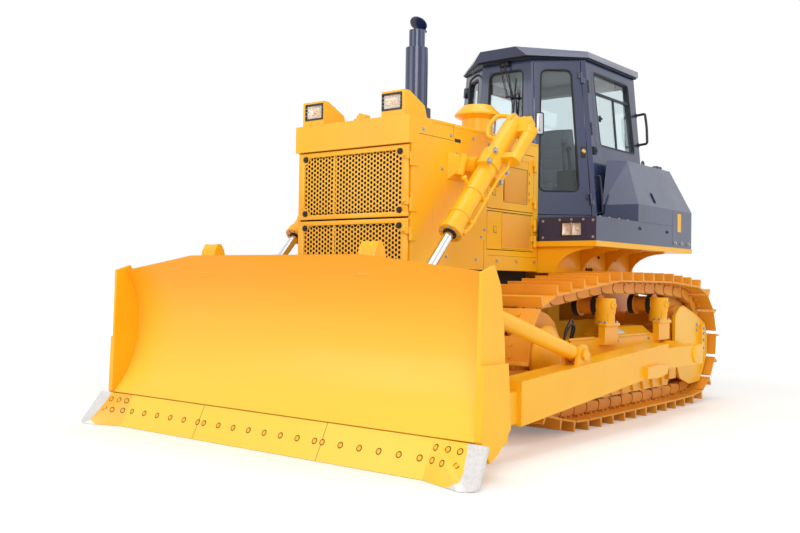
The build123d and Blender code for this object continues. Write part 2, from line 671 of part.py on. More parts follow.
def lift_plate(outline, y0, y1):
    """A plate beside the lift cylinder, its outline given along the axis and above it."""
    return side_plate([on_lift(along, rise)[::2] for along, rise in outline], y0, y1)


BARREL_CAP = 20.0
GLAND = 48.0
PISTON_AT = 315.0
PISTON_LENGTH = 40.0
COLLAR_HALF = 86.0
COLLAR_OUT_Y = LIFT_Y + 65
TUBE_Y = LIFT_Y + 163
TUBE_RISE = -40.0
TUBE_RADIUS = 50.0
TUBE_SPAN = (-440.0, -70.0)
HEAD_TOP = BARREL_TOP - 74
collar = lift_plate(
    ((-COLLAR_HALF, 112), (COLLAR_HALF, 112), (COLLAR_HALF, -150), (-COLLAR_HALF, -150)), LIFT_Y - 20, COLLAR_OUT_Y
)
head = join(
    bar(on_lift(HEAD_TOP), on_lift(BARREL_TOP), BARREL_RADIUS - 16),
    lift_plate(((HEAD_TOP, 34), (HEAD_TOP, -50), (BARREL_TOP + 60, -70), (BARREL_TOP + 60, 0)), LIFT_Y, TUBE_Y),
)
side_tube = join(
    bar(on_lift(TUBE_SPAN[0], TUBE_RISE, TUBE_Y), on_lift(TUBE_SPAN[1], TUBE_RISE, TUBE_Y), TUBE_RADIUS),
    lift_plate(
        ((TUBE_SPAN[1] - 60, 10), (TUBE_SPAN[1], 10), (TUBE_SPAN[1], -60), (TUBE_SPAN[1] - 60, -60)), LIFT_Y, TUBE_Y
    ),
)
barrel = join(
    bar(on_lift(BARREL_TOP), on_lift(BARREL_END), BARREL_RADIUS),
    bar(on_lift(BARREL_END - 60), on_lift(BARREL_END), BARREL_RADIUS + 12),
    bar(on_lift(-45), on_lift(45), BARREL_RADIUS + 12),
    cross_bar(TRUNNION_X, TRUNNION_Z, STUB_RADIUS, PIVOT_Y + RUN, LIFT_Y),
    collar, head, side_tube,
)
barrel = barrel - bar(on_lift(BARREL_TOP + BARREL_CAP), on_lift(BARREL_END - GLAND), BARREL_BORE)
barrel = barrel - bar(on_lift(BARREL_END - GLAND - 1), on_lift(BARREL_END + 1), ROD_RADIUS + RUN)
save_pair("lift_barrel", barrel)
rod = join(
    bar(on_lift(PISTON_AT), on_lift(LIFT_LENGTH), ROD_RADIUS),
    bar(on_lift(PISTON_AT), on_lift(PISTON_AT + PISTON_LENGTH), BARREL_BORE - RUN),
    cross_bar(ROD_PIN_X, ROD_PIN_Z, EYE_RADIUS, LIFT_Y - EYE_HALF_WIDTH, LIFT_Y + EYE_HALF_WIDTH),
)
save_pair("lift_rod", rod)

# Blade: a face plate rolled to one radius, with a sloped top, stiffened behind
INNER_HALF = BLADE_HALF - 12
face_ring = (
    cross_bar(FACE_CENTRE_X, FACE_CENTRE_Z, FACE_RADIUS + MOLDBOARD_THICK, -INNER_HALF, INNER_HALF)
    - cross_bar(FACE_CENTRE_X, FACE_CENTRE_Z, FACE_RADIUS, -INNER_HALF - 1, INNER_HALF + 1)
)
BEYOND = BLADE_HALF + 165
blade_front_view = cross_plate(
    ((-BEYOND, FACE_LOW_Z), (BEYOND, FACE_LOW_Z), (BEYOND, BLADE_CORNER_Z - 8), (BLADE_HALF, BLADE_CORNER_Z),
     (BLADE_SHOULDER_Y, BLADE_TOP_Z), (-BLADE_SHOULDER_Y, BLADE_TOP_Z), (-BLADE_HALF, BLADE_CORNER_Z),
     (-BEYOND, BLADE_CORNER_Z - 8)), 2200, 2600
)
save("moldboard", face_ring & blade_front_view)
in_front = cross_bar(
    FACE_CENTRE_X, FACE_CENTRE_Z, FACE_RADIUS + MOLDBOARD_THICK + PLATE_FIT, -BLADE_HALF, BLADE_HALF
)

END_OUTLINE = (
    (2492, 1197), (2516, 240), (2427, 110), (2332, 155), (2200, 205), (2204, 285), (2224, 440),
    (2259, 885), (2297, 1120), (2365, 1238),
)
end_plate = side_plate(END_OUTLINE, INNER_HALF, BLADE_HALF + 14)
wear_plate = side_plate(
    ((2504, 670), (2516, 240), (2427, 110), (2332, 155), (2204, 285), (2239, 670)),
    BLADE_HALF + 14, BLADE_HALF + 36
)

# Stiffeners behind the face: a low box, upright ribs and the ears for the cylinders and braces
BOX_TOP_LINE = ((2330, 561), (2224, 540))
low_box = side_plate(
    ((2488, 216), (2486, 240), *BOX_TOP_LINE, (2204, 285), (2200, 205), (2420, 150), (2500, 96),
     (2544.5, 109.5)), -INNER_HALF, INNER_HALF
) - in_front
RIB_REAR = ((2214, 900), (2206, 540))
rib_front = (*BOX_TOP_LINE[::-1], (2400, 900))
uprights = [
    side_plate((*rib_front, (2400, 1130), (2270, 1120), *RIB_REAR), y - LUG_HALF, y + LUG_HALF) - in_front
    for y in (-1130.0, -400.0, 0.0, 400.0, 1130.0)
]
ear_outline = (
    *rib_front, (2400, 1180), (2385, 1240), (2360, 1350), (2332, 1396), (2300, 1396), (2272, 1350),
    (2215, 1150), (2010, 900), (1990, 830), (2020, 770), (2110, 620),
)
ears = []
for y, head_y in ((LUG_FAR_Y, LUG_FAR_Y + LUG_HALF), (LUG_NEAR_Y, LUG_NEAR_Y - LUG_HALF - PIN_HEAD)):
    ear = side_plate(ear_outline, y - LUG_HALF, y + LUG_HALF) - in_front
    head = cross_bar(ROD_PIN_X, ROD_PIN_Z, 46, head_y, head_y + PIN_HEAD)
    ears.extend(both(join(ear, head)))
brace_ear_outline = (
    *rib_front, (2400, 1130), (2270, 1120), (2180, 1070), (2120, 1040), (2110, 985), (2140, 940), *RIB_REAR
)
brace_ears = []
for y0 in (BRACE_Y - BRACE_EYE_HALF - EAR_THICK, BRACE_Y + BRACE_EYE_HALF):
    brace_ears.extend(both(side_plate(brace_ear_outline, y0, y0 + EAR_THICK) - in_front))
save("blade_back", low_box)
save("blade_ribs", *uprights, *ears, *brace_ears)
save("end_plates", *both(join(end_plate, wear_plate)))

# Cutting edge and end bits
edge_outline = (
    (EDGE_LOW_X, EDGE_LOW_Z), (EDGE_TOP_X, EDGE_TOP_Z), (EDGE_TOP_X - EDGE_THICK, EDGE_TOP_Z - 14),
    (EDGE_LOW_X - EDGE_THICK, EDGE_LOW_Z),
)
save("cutting_edge", side_plate(edge_outline, -EDGE_HALF, EDGE_HALF))


# The outer corner is rounded: its last points climb from the ground line to the outer edge
bit_front = [
    (EDGE_TOP_X, EDGE_HALF, EDGE_TOP_Z), (EDGE_LOW_X, EDGE_HALF, EDGE_LOW_Z), (2738, BLADE_HALF + 25, EDGE_LOW_Z),
    (2721, BIT_HALF - 48, EDGE_LOW_Z), (2704, BIT_HALF - 16, 14), (2684, BIT_HALF - 5, 34),
    (2664, BIT_HALF - 9, 62), (2545, BLADE_HALF + 92, 232),
]
bit_back = [(x - EDGE_THICK, y, max(z - 14, EDGE_LOW_Z)) for x, y, z in bit_front]
end_bit = between(bit_front, bit_back)
save("end_bits", *both(end_bit))

# Push arms: box beams outside the tracks, from the track frames to the blade's back
ARM_INSET = 60.0
EYE_BORE = 60.0 + RUN
arm_front = side_plate(((1705, 215), (1705, 505), (-665, 648), (-665, 420)), ARM_INNER_Y, ARM_OUTER_Y)
arm_nose = side_plate(((1705, 230), (2201.75, 240), (2204, 285), (2214.588, 420), (1705, 440)), ARM_INNER_Y + 30, ARM_OUTER_Y - 30)
arm_rear = side_plate(
    ((-665, 425), (-1611, 425), (-1611, 600), (-665, 600)), ARM_INNER_Y, ARM_OUTER_Y - ARM_INSET
)
foot_outline = ((660, 520), (910, 505), (862, 640), (830, 690), (785, 706), (735, 690), (690, 600))
foot_ears = [
    side_plate(foot_outline, y0, y0 + EAR_THICK)
    for y0 in (BRACE_Y - BRACE_EYE_HALF - EAR_THICK, BRACE_Y + BRACE_EYE_HALF)
]
foot_heads = [
    cross_bar(BRACE_LOW[0], BRACE_LOW[1], 34, y0, y0 + 16)
    for y0 in (BRACE_Y - BRACE_EYE_HALF - EAR_THICK - 16, BRACE_Y + BRACE_EYE_HALF + EAR_THICK)
]
push_arm = join(arm_front, arm_nose, arm_rear, *foot_ears, *foot_heads)
push_arm = push_arm - cross_bar(ARM_PIVOT_X, ARM_PIVOT_Z, EYE_BORE, ARM_INNER_Y - 1, ARM_OUTER_Y)
save("push_arms", *both(push_arm))


def along_brace(share, y=BRACE_Y):
    """The point on the brace's axis at this share of its length."""
    return (
        BRACE_LOW[0] + (BRACE_HIGH[0] - BRACE_LOW[0]) * share, y,
        BRACE_LOW[1] + (BRACE_HIGH[1] - BRACE_LOW[1]) * share,
    )


def brace_eye(end):
    """The eye at one end of a brace."""
    return cross_bar(end[0], end[1], BRACE_EYE, BRACE_Y - BRACE_EYE_HALF, BRACE_Y + BRACE_EYE_HALF)


brace = join(
    bar(along_brace(0.0), along_brace(1.0), 38),
    bar(along_brace(0.06), along_brace(0.93), 55),
    brace_eye(BRACE_LOW), brace_eye(BRACE_HIGH),
)
tilt_cylinder = mirrored(join(
    bar(along_brace(0.0), along_brace(1.0), 38),
    bar(along_brace(0.06), along_brace(0.60), 78),
    brace_eye(BRACE_LOW), brace_eye(BRACE_HIGH),
))
save("braces", brace, tilt_cylinder)

# Fenders: a plate over each track on arched gussets
GUSSET_XS = (-166.0, -640.0, -1130.0, -1640.0)


def gusset(x):
    """An upright plate with a rounded hollow on its outer side."""
    arc = [
        (1075 - 330 * sin(radians(a)), FENDER_LOW_Z - 20 - 205 * (1 - cos(radians(a))))
        for a in range(0, 91, 15)
    ]
    return cross_plate([(CASE_HALF, FENDER_LOW_Z), (1095, FENDER_LOW_Z)] + arc + [(CASE_HALF, 1230)], x, x + 16)


fender = join(
    block(FENDER_REAR_X, FENDER_FRONT_X, CASE_HALF, FENDER_OUT_Y, FENDER_LOW_Z, FENDER_TOP_Z) - block(-145, 0, 0, HOOD_HALF, 0, 3000),
    *[gusset(x) for x in GUSSET_XS],
)
save("fenders", *both(fender))
BOX_TOP = CAB_LOW_Z
lamp_hole = block(-135, -100, 815, 1005, 1545, 1655)
side_box = block(-830, FENDER_FRONT_X, 600, FENDER_OUT_Y, FENDER_TOP_Z, BOX_TOP) - lamp_hole
save("fender_boxes", *both(side_box))
fender_lens = block(-135, -124, 817, 1003, 1547, 1653)
save("lamp_lenses", *both(lens), *both(fender_lens))


TANK_IN = 812.0
side_tank = join(
    between(
        [(-835, TANK_IN, BOX_TOP), (-925, FENDER_OUT_Y, BOX_TOP), (-2170, FENDER_OUT_Y, BOX_TOP), (-2170, TANK_IN, BOX_TOP)],
        [(-870, TANK_IN, 1860), (-923, FENDER_OUT_Y, 1860), (-2170, FENDER_OUT_Y, 1860), (-2170, TANK_IN, 1860)],
    ),
    between(
        [(-870, TANK_IN, 1860), (-923, FENDER_OUT_Y, 1860), (-2170, FENDER_OUT_Y, 1860), (-2170, TANK_IN, 1860)],
        [(-959, TANK_IN, 2279), (-1118, 938, 2279), (-2096, 938, 2279), (-2096, TANK_IN, 2279)],
    ),
    block(-2170, -830, TANK_IN, FENDER_OUT_Y, FENDER_TOP_Z, BOX_TOP),
)
save("side_tanks", *both(side_tank))
save("fuel_tank", between(
    [(-1880, -TANK_IN + 2, FENDER_TOP_Z), (-1880, TANK_IN - 2, FENDER_TOP_Z), (-2170, TANK_IN - 2, FENDER_TOP_Z), (-2170, -TANK_IN + 2, FENDER_TOP_Z)],
    [(-1880, -TANK_IN + 2, 2230), (-1880, TANK_IN - 2, 2230), (-2105, TANK_IN - 2, 2230), (-2105, -TANK_IN + 2, 2230)],
))

# Cab: wall panels that meet at the corners, each as thick as the wall
def plan(points):
    """The whole cab outline from its left half, front corner first, clockwise from above."""
    right = [(x, -y) for x, y in points]
    return [right[0], *points, *right[:0:-1]]


def inset(points, distance):
    """A plan outline moved inward."""
    moved = []
    count = len(points)
    for n in range(count):
        lines = []
        for a, b in ((points[n - 1], points[n]), (points[n], points[(n + 1) % count])):
            run = (b[0] - a[0], b[1] - a[1])
            length = hypot(*run)
            lines.append((-run[1] / length, run[0] / length, a))
        (nx0, ny0, a0), (nx1, ny1, a1) = lines
        d0 = nx0 * a0[0] + ny0 * a0[1] + distance
        d1 = nx1 * a1[0] + ny1 * a1[1] + distance
        det = nx0 * ny1 - nx1 * ny0
        moved.append(((d0 * ny1 - d1 * ny0) / det, (nx0 * d1 - nx1 * d0) / det))
    return moved


LOW_OUT = plan(CAB_LOW)
TOP_OUT = plan(CAB_TOP)
LOW_IN = inset(LOW_OUT, WALL)
TOP_IN = inset(TOP_OUT, WALL)


def corner(table, n, z):
    """One corner of the cab outline at a height."""
    return (table[n % 6][0], table[n % 6][1], z)


def wall(n):
    """The wall panel between corner n and the next."""
    low = [corner(LOW_OUT, n, CAB_LOW_Z), corner(LOW_OUT, n + 1, CAB_LOW_Z),
           corner(LOW_IN, n + 1, CAB_LOW_Z), corner(LOW_IN, n, CAB_LOW_Z)]
    top = [corner(TOP_OUT, n, CAB_TOP_Z), corner(TOP_OUT, n + 1, CAB_TOP_Z),
           corner(TOP_IN, n + 1, CAB_TOP_Z), corner(TOP_IN, n, CAB_TOP_Z)]
    return between(low, top)


def wall_plane(n):
    """The plane of a wall's outer face: X level along the wall, Y up it, from the middle of its foot."""
    a = Vector(*corner(LOW_OUT, n, CAB_LOW_Z))
    b = Vector(*corner(LOW_OUT, n + 1, CAB_LOW_Z))
    c = (Vector(*corner(TOP_OUT, n, CAB_TOP_Z)) + Vector(*corner(TOP_OUT, n + 1, CAB_TOP_Z))) * 0.5
    foot = (a + b) * 0.5
    level = (b - a).normalized()
    up = c - foot
    normal = level.cross(up).normalized()
    return Plane(origin=(foot.X, foot.Y, foot.Z), x_dir=(level.X, level.Y, level.Z),
                 z_dir=(normal.X, normal.Y, normal.Z))


def wall_outline(n, v0, v1, left, right):
    """An outline on a wall's face that keeps these margins from its slanted ends, at v0 and v1."""
    plane = wall_plane(n)
    rows = []
    for v, side0, side1 in ((v0, left[0], right[0]), (v1, left[1], right[1])):
        ends = []
        for m in (n, n + 1):
            low = plane.to_local_coords(Vector(*corner(LOW_OUT, m, CAB_LOW_Z)))
            top = plane.to_local_coords(Vector(*corner(TOP_OUT, m, CAB_TOP_Z)))
            ends.append(low.X + (top.X - low.X) * (v - low.Y) / (top.Y - low.Y))
        rows.append(((ends[0] + side0, v), (ends[1] - side1, v)))
    return [rows[0][0], rows[0][1], rows[1][1], rows[1][0]]


def opening(n, outline, radius, depth0, depth1):
    """A rounded outline on a wall's face, from one depth to another."""
    plane = wall_plane(n)
    sketch = make_face(Polyline(*outline, close=True))
    sketch = fillet(sketch.vertices(), radius)
    flat = plane.offset(depth0) * sketch
    return extrude(flat, amount=depth1 - depth0)


def box_outline(u0, u1, v0, v1):
    return [(u0, v0), (u1, v0), (u1, v1), (u0, v1)]


def taper(a, b, v0, v1):
    """An outline whose sides follow the wall's lean: half widths a at v0 and b at v1."""
    return [(-a, v0), (a, v0), (b, v1), (-b, v1)]


GLASS_FIT = 0.3
GLASS_DEPTH = -30.0


def glazed(n, panel, outline, small, radius):
    """A panel with a window cut in it, and the pane that fills the window."""
    hole = opening(n, outline, radius, -WALL - 60, 60)
    pane = opening(n, small, radius - GLASS_FIT, GLASS_DEPTH, GLASS_DEPTH + GLASS)
    return panel - hole, pane


def shrunk(outline, distance):
    """An outline moved inward by a distance."""
    return inset(outline, distance)


FRONT_WALL = 0
LEFT_DOOR = 1
LEFT_WALL = 2
REAR_WALL = 3

WINDOW_TOP_V = CAB_TOP_Z - CAB_LOW_Z - 92
front_hole = [(-265, 560), (265, 560), (220, WINDOW_TOP_V), (-220, WINDOW_TOP_V)]
front_panel, front_pane = glazed(FRONT_WALL, wall(FRONT_WALL), front_hole, shrunk(front_hole, GLASS_FIT), 60)
save("cab_front", front_panel)

side_hole = [(-440, 720), (400, 720), (360, WINDOW_TOP_V), (-420, WINDOW_TOP_V)]
side_panel, side_pane = glazed(LEFT_WALL, wall(LEFT_WALL), side_hole, shrunk(side_hole, GLASS_FIT), 40)
save("cab_sides", *both(side_panel))

rear_hole = [(-600, 720), (600, 720), (560, WINDOW_TOP_V), (-560, WINDOW_TOP_V)]
rear_panel, rear_pane = glazed(REAR_WALL, wall(REAR_WALL), rear_hole, shrunk(rear_hole, GLASS_FIT), 50)
save("cab_rear", rear_panel)
save("cab_glass", front_pane, *both(side_pane), rear_pane)

# Cab doors fill the slanted walls; a shut line is left on every edge
door_wall = wall(LEFT_DOOR)
door_plane = wall_plane(LEFT_DOOR)
DOOR_LOW_V = 62.0
DOOR_TOP_V = WINDOW_TOP_V + 70
DOOR_FRONT_MARGIN = 26.0
DOOR_REAR_MARGIN = 50.0
door_outline = wall_outline(
    LEFT_DOOR, DOOR_LOW_V, DOOR_TOP_V, (DOOR_FRONT_MARGIN,) * 2, (DOOR_REAR_MARGIN,) * 2
)
door_cutter = extrude(door_plane.offset(-WALL - 30) * make_face(Polyline(*door_outline, close=True)), amount=WALL + 80)
frame_outline = inset(door_outline, -SHUT_LINE)
frame_cutter = extrude(door_plane.offset(-WALL - 40) * make_face(Polyline(*frame_outline, close=True)), amount=WALL + 100)
door_frame = door_wall - frame_cutter
door_panel = door_wall & door_cutter
door_hole = wall_outline(LEFT_DOOR, 270, WINDOW_TOP_V - 10, (50, 86), (140, 130))
door_panel, door_pane = glazed(LEFT_DOOR, door_panel, door_hole, shrunk(door_hole, GLASS_FIT), 60)
door_feet = []
low_u, top_u = [corner_uv[0] + SHUT_LINE / 2 for corner_uv in door_outline[1:3]]
lean = (top_u - low_u) / (DOOR_TOP_V - DOOR_LOW_V)
hinge_axis = door_plane.x_dir * lean + door_plane.y_dir
for v in (200, DOOR_TOP_V - 160):
    place = door_plane.origin + door_plane.x_dir * (low_u + lean * (v - DOOR_LOW_V)) + door_plane.y_dir * v
    place = place + door_plane.z_dir * (KNUCKLE_RADIUS + 3)
    knuckle, base = hinge(
        tuple(place), tuple(hinge_axis), tuple(door_plane.x_dir * -1 - door_plane.z_dir * 0.55),
        tuple(door_plane.x_dir - door_plane.z_dir * 0.55), 42, 37
    )
    door_panel = join(door_panel, knuckle)
    door_feet.append(base)
save("cab_door_frames", *both(join(door_frame, *door_feet)))
save_pair("cab_door", door_panel)
save_pair("cab_door_glass", door_pane)

ROOF_LOW = plan(((-389, 288), (-800, 698), (-1860, 700)))
ROOF_TOP = plan(((-350, 190), (-902, 634), (-1961, 650)))
roof = between([(x, y, CAB_TOP_Z) for x, y in ROOF_LOW], [(x, y, CAB_TOP_Z + 85) for x, y in ROOF_TOP])
save("cab_roof", roof)
floor_low = inset(LOW_OUT, WALL + 1)
floor = floor_plate(LOW_OUT, FENDER_TOP_Z + 4, CAB_LOW_Z)
for y0, y1 in ((599, 900), (-900, -599)):
    floor = floor - block(-830.5, 0, y0, y1, 0, CAB_LOW_Z + 1)
seat_base = block(-1420, -1000, -190, 190, CAB_LOW_Z, 1960)
save("cab_floor", join(floor, seat_base))

# Seat and controls
seat_cushion = block(-1440, -960, -240, 240, 1960, 2090)
seat_back = side_plate(((-1440, 2090), (-1340, 2090), (-1440, 2700), (-1540, 2700)), -230, 230)
save("seat", join(seat_cushion, seat_back))
consoles = []
for side in (-1, 1):
    y0, y1 = sorted((side * 330, side * 520))
    lever_y = side * 425
    consoles.append(join(
        block(-1400, -900, y0, y1, CAB_LOW_Z, 2200),
        bar((-980, lever_y, 2190), (-940, lever_y, 2400), 14),
        Pos(-940, lever_y, 2412) * Sphere(28),
    ))
save("consoles", *consoles)
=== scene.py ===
"""Crawler bulldozer: paints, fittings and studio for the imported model."""

import json
import math

import bmesh
import bpy
from mathutils import Matrix, Vector


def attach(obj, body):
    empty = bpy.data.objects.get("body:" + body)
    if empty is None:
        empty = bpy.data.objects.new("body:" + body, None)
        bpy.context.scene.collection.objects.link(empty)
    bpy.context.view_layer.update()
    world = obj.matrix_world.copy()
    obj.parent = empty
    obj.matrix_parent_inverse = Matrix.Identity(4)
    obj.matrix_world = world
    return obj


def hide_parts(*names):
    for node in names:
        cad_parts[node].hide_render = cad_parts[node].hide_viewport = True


bl_info = {
    "name": "Crawler Bulldozer Dressing",
    "version": (1, 0, 0),
    "blender": (4, 5, 0),
    "location": "View3D > Sidebar > Bulldozer",
    "description": "Paints, fittings and studio for a crawler bulldozer",
    "category": "Object",
}

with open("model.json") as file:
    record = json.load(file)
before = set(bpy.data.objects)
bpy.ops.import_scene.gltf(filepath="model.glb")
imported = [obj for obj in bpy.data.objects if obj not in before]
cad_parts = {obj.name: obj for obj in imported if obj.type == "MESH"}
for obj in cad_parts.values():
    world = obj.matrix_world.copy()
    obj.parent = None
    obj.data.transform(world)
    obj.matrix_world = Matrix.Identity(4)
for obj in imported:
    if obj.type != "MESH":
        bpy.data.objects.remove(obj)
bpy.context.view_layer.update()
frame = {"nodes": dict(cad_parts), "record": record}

FINISHES = {}


# Helpers for materials


def linear(hex_colour):
    """An sRGB hex colour as the linear RGBA that a shader socket takes."""
    levels = [int(hex_colour[n:n + 2], 16) / 255 for n in (0, 2, 4)]
    return (*[v / 12.92 if v <= 0.04045 else ((v + 0.055) / 1.055) ** 2.4 for v in levels], 1.0)


def node(tree, kind, inputs=None, **settings):
    """Add a node. Settings are its own fields; inputs are numbers, colours or other nodes' outputs."""
    made = tree.nodes.new(kind)
    for name, value in settings.items():
        setattr(made, name, value)
    for name, value in (inputs or {}).items():
        if isinstance(value, bpy.types.NodeSocket):
            tree.links.new(value, made.inputs[name])
        else:
            made.inputs[name].default_value = value
    return made


def finish(name, shader_inputs):
    """A named material with a Principled shader, kept in FINISHES; gives its tree and shader."""
    material = bpy.data.materials.new(name)
    material.use_nodes = True
    tree = material.node_tree
    tree.nodes.clear()
    shader = node(tree, "ShaderNodeBsdfPrincipled", shader_inputs)
    node(tree, "ShaderNodeOutputMaterial", {"Surface": shader.outputs["BSDF"]})
    FINISHES[name] = material
    return tree, shader


def place_of(tree):
    """The point on the machine, in metres."""
    return node(tree, "ShaderNodeTexCoord").outputs["Object"]


def mottle(tree, place, size, detail=3.0, roughness=0.5):
    """Soft noise whose blotches are about size metres across."""
    return node(tree, "ShaderNodeTexNoise", {
        "Vector": place, "Scale": 1 / size, "Detail": detail, "Roughness": roughness,
    }).outputs["Fac"]


def span(tree, value, low, high, to_low=0.0, to_high=1.0):
    """A value's range turned into another, held at its ends."""
    return node(tree, "ShaderNodeMapRange", {
        "Value": value, "From Min": low, "From Max": high, "To Min": to_low, "To Max": to_high,
    }).outputs["Result"]


def calc(tree, way, *values):
    """The result of a Math node on numbers or other nodes' outputs."""
    return node(tree, "ShaderNodeMath", dict(enumerate(values)), operation=way).outputs[0]


def blend_colour(tree, share, first, second):
    """Two colours mixed by a share. The Mix node has its colours at inputs 6 and 7 and output 2."""
    return node(tree, "ShaderNodeMix", {0: share, 6: first, 7: second}, data_type="RGBA").outputs[2]


def dress(tree, shader, colour=None, roughness=None, normal=None):
    """Link whichever of colour, roughness and normal are given to a shader."""
    for name, value in (("Base Color", colour), ("Roughness", roughness), ("Normal", normal)):
        if value is not None:
            tree.links.new(value, shader.inputs[name])


def rounded_edge(tree, radius):
    """Normals that round each sharp edge, as a coat of paint does."""
    return node(tree, "ShaderNodeBevel", {"Radius": radius}, samples=4).outputs["Normal"]


def edge_share(tree, rounded, low, high):
    """How near a point is to a sharp edge, from 0 on the flat to 1 at the edge."""
    straight = node(tree, "ShaderNodeNewGeometry").outputs["Normal"]
    along = node(tree, "ShaderNodeVectorMath", {0: rounded, 1: straight}, operation="DOT_PRODUCT")
    return span(tree, along.outputs["Value"], 1 - low, 1 - high)


def bumped(tree, height, strength, distance, normal=None):
    """A bump in metres on top of a normal."""
    inputs = {"Height": height, "Strength": strength, "Distance": distance}
    if normal is not None:
        inputs["Normal"] = normal
    return node(tree, "ShaderNodeBump", inputs).outputs["Normal"]


# Materials


PAINT_EDGE = 0.005
SPRAY_DAPPLE = 0.03
YELLOW_DEEP = linear("FBB414")
# Paler yellow put on sharp edges as a painted highlight
YELLOW_EDGE_HIGHLIGHT = linear("FFDA62")
# Heights between which the mouldboard goes from painted light low down to painted shade toward the top
BLADE_PAINTED_LIGHT_Z = 0.35
BLADE_PAINTED_SHADE_Z = 1.15
SCREEN_PITCH = 0.012
# Each bare band of the end bits: its start from the middle of the blade, its lean with height, its soft edge
BARE_BANDS = ((1.765, 0.24, 0.008), (1.655, -2.4, 0.02))


def coat_of_paint(tree, shader, light, deep, edge, roughness):
    """Sprayed enamel: slow shifts of tone, a painted highlight in a paler colour along sharp edges, and a
    faint orange peel.
    """
    place = place_of(tree)
    rounded = rounded_edge(tree, PAINT_EDGE)
    colour = blend_colour(tree, span(tree, mottle(tree, place, 0.9), 0.35, 0.65), light, deep)
    # Painted highlight: the edge colour brightens the paint near each sharp edge
    colour = blend_colour(tree, edge_share(tree, rounded, 0.04, 0.3), colour, edge)
    gloss = span(tree, mottle(tree, place, 0.25), 0.3, 0.7, roughness - 0.05, roughness + 0.07)
    dapple = mottle(tree, place, SPRAY_DAPPLE, 1.0)
    dress(tree, shader, colour, gloss, bumped(tree, dapple, 0.12, 0.0015, rounded))
    return place, colour


def yellow_enamel(settings):
    """Two-pack machine enamel sprayed over plate: an even, glossy, warm yellow with soft highlights."""
    tree, shader = finish("yellow_enamel", {
        "Coat Weight": 0.15, "Coat Roughness": 0.12, "Specular IOR Level": 0.35,
    })
    coat_of_paint(tree, shader, (*settings.yellow, 1.0), YELLOW_DEEP, YELLOW_EDGE_HIGHLIGHT, 0.38)


def blade_enamel(settings):
    """The same enamel on the blade, with painted light and shade by height: lemon low down, deep
    orange-yellow toward the top under the lip.
    """
    tree, shader = finish("blade_enamel", {
        "Coat Weight": 0.15, "Coat Roughness": 0.15, "Specular IOR Level": 0.35,
    })
    place, _ = coat_of_paint(tree, shader, (*settings.yellow, 1.0), YELLOW_DEEP, YELLOW_EDGE_HIGHLIGHT, 0.4)
    # Painted light low on the mouldboard, turning to painted shade toward its top
    height = node(tree, "ShaderNodeSeparateXYZ", {"Vector": place}).outputs["Z"]
    share = span(tree, height, BLADE_PAINTED_LIGHT_Z, BLADE_PAINTED_SHADE_Z)
    dress(tree, shader, blend_colour(tree, share, linear("FFD243"), linear("FCA819")))


def track_enamel(settings):
    """The same yellow sprayed thinly over forged track links: redder, duller, and dusty in random blotches.
    """
    tree, shader = finish("track_enamel", {"Coat Weight": 0.1, "Coat Roughness": 0.3})
    place, colour = coat_of_paint(
        tree, shader, (*settings.track_yellow, 1.0), linear("E99A24"), linear("FFCB58"), 0.5,
    )
    dirt = span(tree, mottle(tree, place, 0.3), 0.5, 0.9, 0.0, 0.5)
    dress(tree, shader, blend_colour(tree, dirt, colour, linear("D2862A")))


def navy_enamel(settings):
    """Dark blue cab enamel: deep, hard and glossy, with a pale shine where light grazes it."""
    tree, shader = finish("navy_enamel", {
        "Coat Weight": 0.6, "Coat Roughness": 0.06, "Specular IOR Level": 0.4,
    })
    coat_of_paint(tree, shader, (*settings.navy, 1.0), linear("1C294C"), linear("4C5E92"), 0.3)


def cast_iron_paint():
    """Sand-cast iron under dark primer: matt, grainy, dark grey."""
    tree, shader = finish("engine_iron", {"Metallic": 0.3})
    place = place_of(tree)
    grain = mottle(tree, place, 0.012, 4.0, 0.7)
    colour = blend_colour(tree, mottle(tree, place, 0.2), linear("2E2E30"), linear("4A4744"))
    dress(tree, shader, colour, span(tree, grain, 0.2, 0.8, 0.5, 0.75), bumped(tree, grain, 0.4, 0.003))


def worn_bit_paint():
    """Yellow paint on a cast end bit, rubbed back to bare steel along its outer and lower corner."""
    tree, shader = finish("worn_bit_paint", {"Coat Weight": 0.15, "Coat Roughness": 0.2})
    place, colour = coat_of_paint(tree, shader, linear("FFD23C"), YELLOW_DEEP, linear("FFE07A"), 0.38)
    axes = node(tree, "ShaderNodeSeparateXYZ", {"Vector": place}).outputs
    outward = calc(tree, "ABSOLUTE", axes["Y"])
    ragged = calc(tree, "MULTIPLY", mottle(tree, place, 0.09, 2.0), 0.03)
    # The outer edge leans outward toward the ground, and the lower corner is bare further in
    bands = []
    for first, lean, soft in BARE_BANDS:
        reach = calc(tree, "ADD", outward, calc(tree, "MULTIPLY", axes["Z"], lean))
        bands.append(span(tree, calc(tree, "ADD", reach, ragged), first, first + soft))
    bare = calc(tree, "MAXIMUM", *bands)
    steel = blend_colour(tree, mottle(tree, place, 0.02, 5.0), linear("C4C2C2"), linear("F1EEEC"))
    dress(tree, shader, blend_colour(tree, bare, colour, steel))
    tree.links.new(span(tree, bare, 0.0, 1.0, 0.0, 0.35), shader.inputs["Metallic"])


def chromed_rod():
    """Hard chrome on a ground piston rod: a clean mirror with a faint haze."""
    tree, shader = finish("chromed_rod", {"Metallic": 1.0, "Base Color": linear("D9DBDE")})
    haze = mottle(tree, place_of(tree), 0.02)
    dress(tree, shader, roughness=span(tree, haze, 0.3, 0.7, 0.08, 0.16))


def zinc_bolts():
    """Zinc-plated steel screws: pale, satin and slightly blotched."""
    tree, shader = finish("zinc_plate", {"Metallic": 0.9})
    spots = mottle(tree, place_of(tree), 0.01)
    colour = blend_colour(tree, spots, linear("9C9DA0"), linear("C9C9CC"))
    dress(tree, shader, colour, span(tree, spots, 0.3, 0.7, 0.3, 0.5))


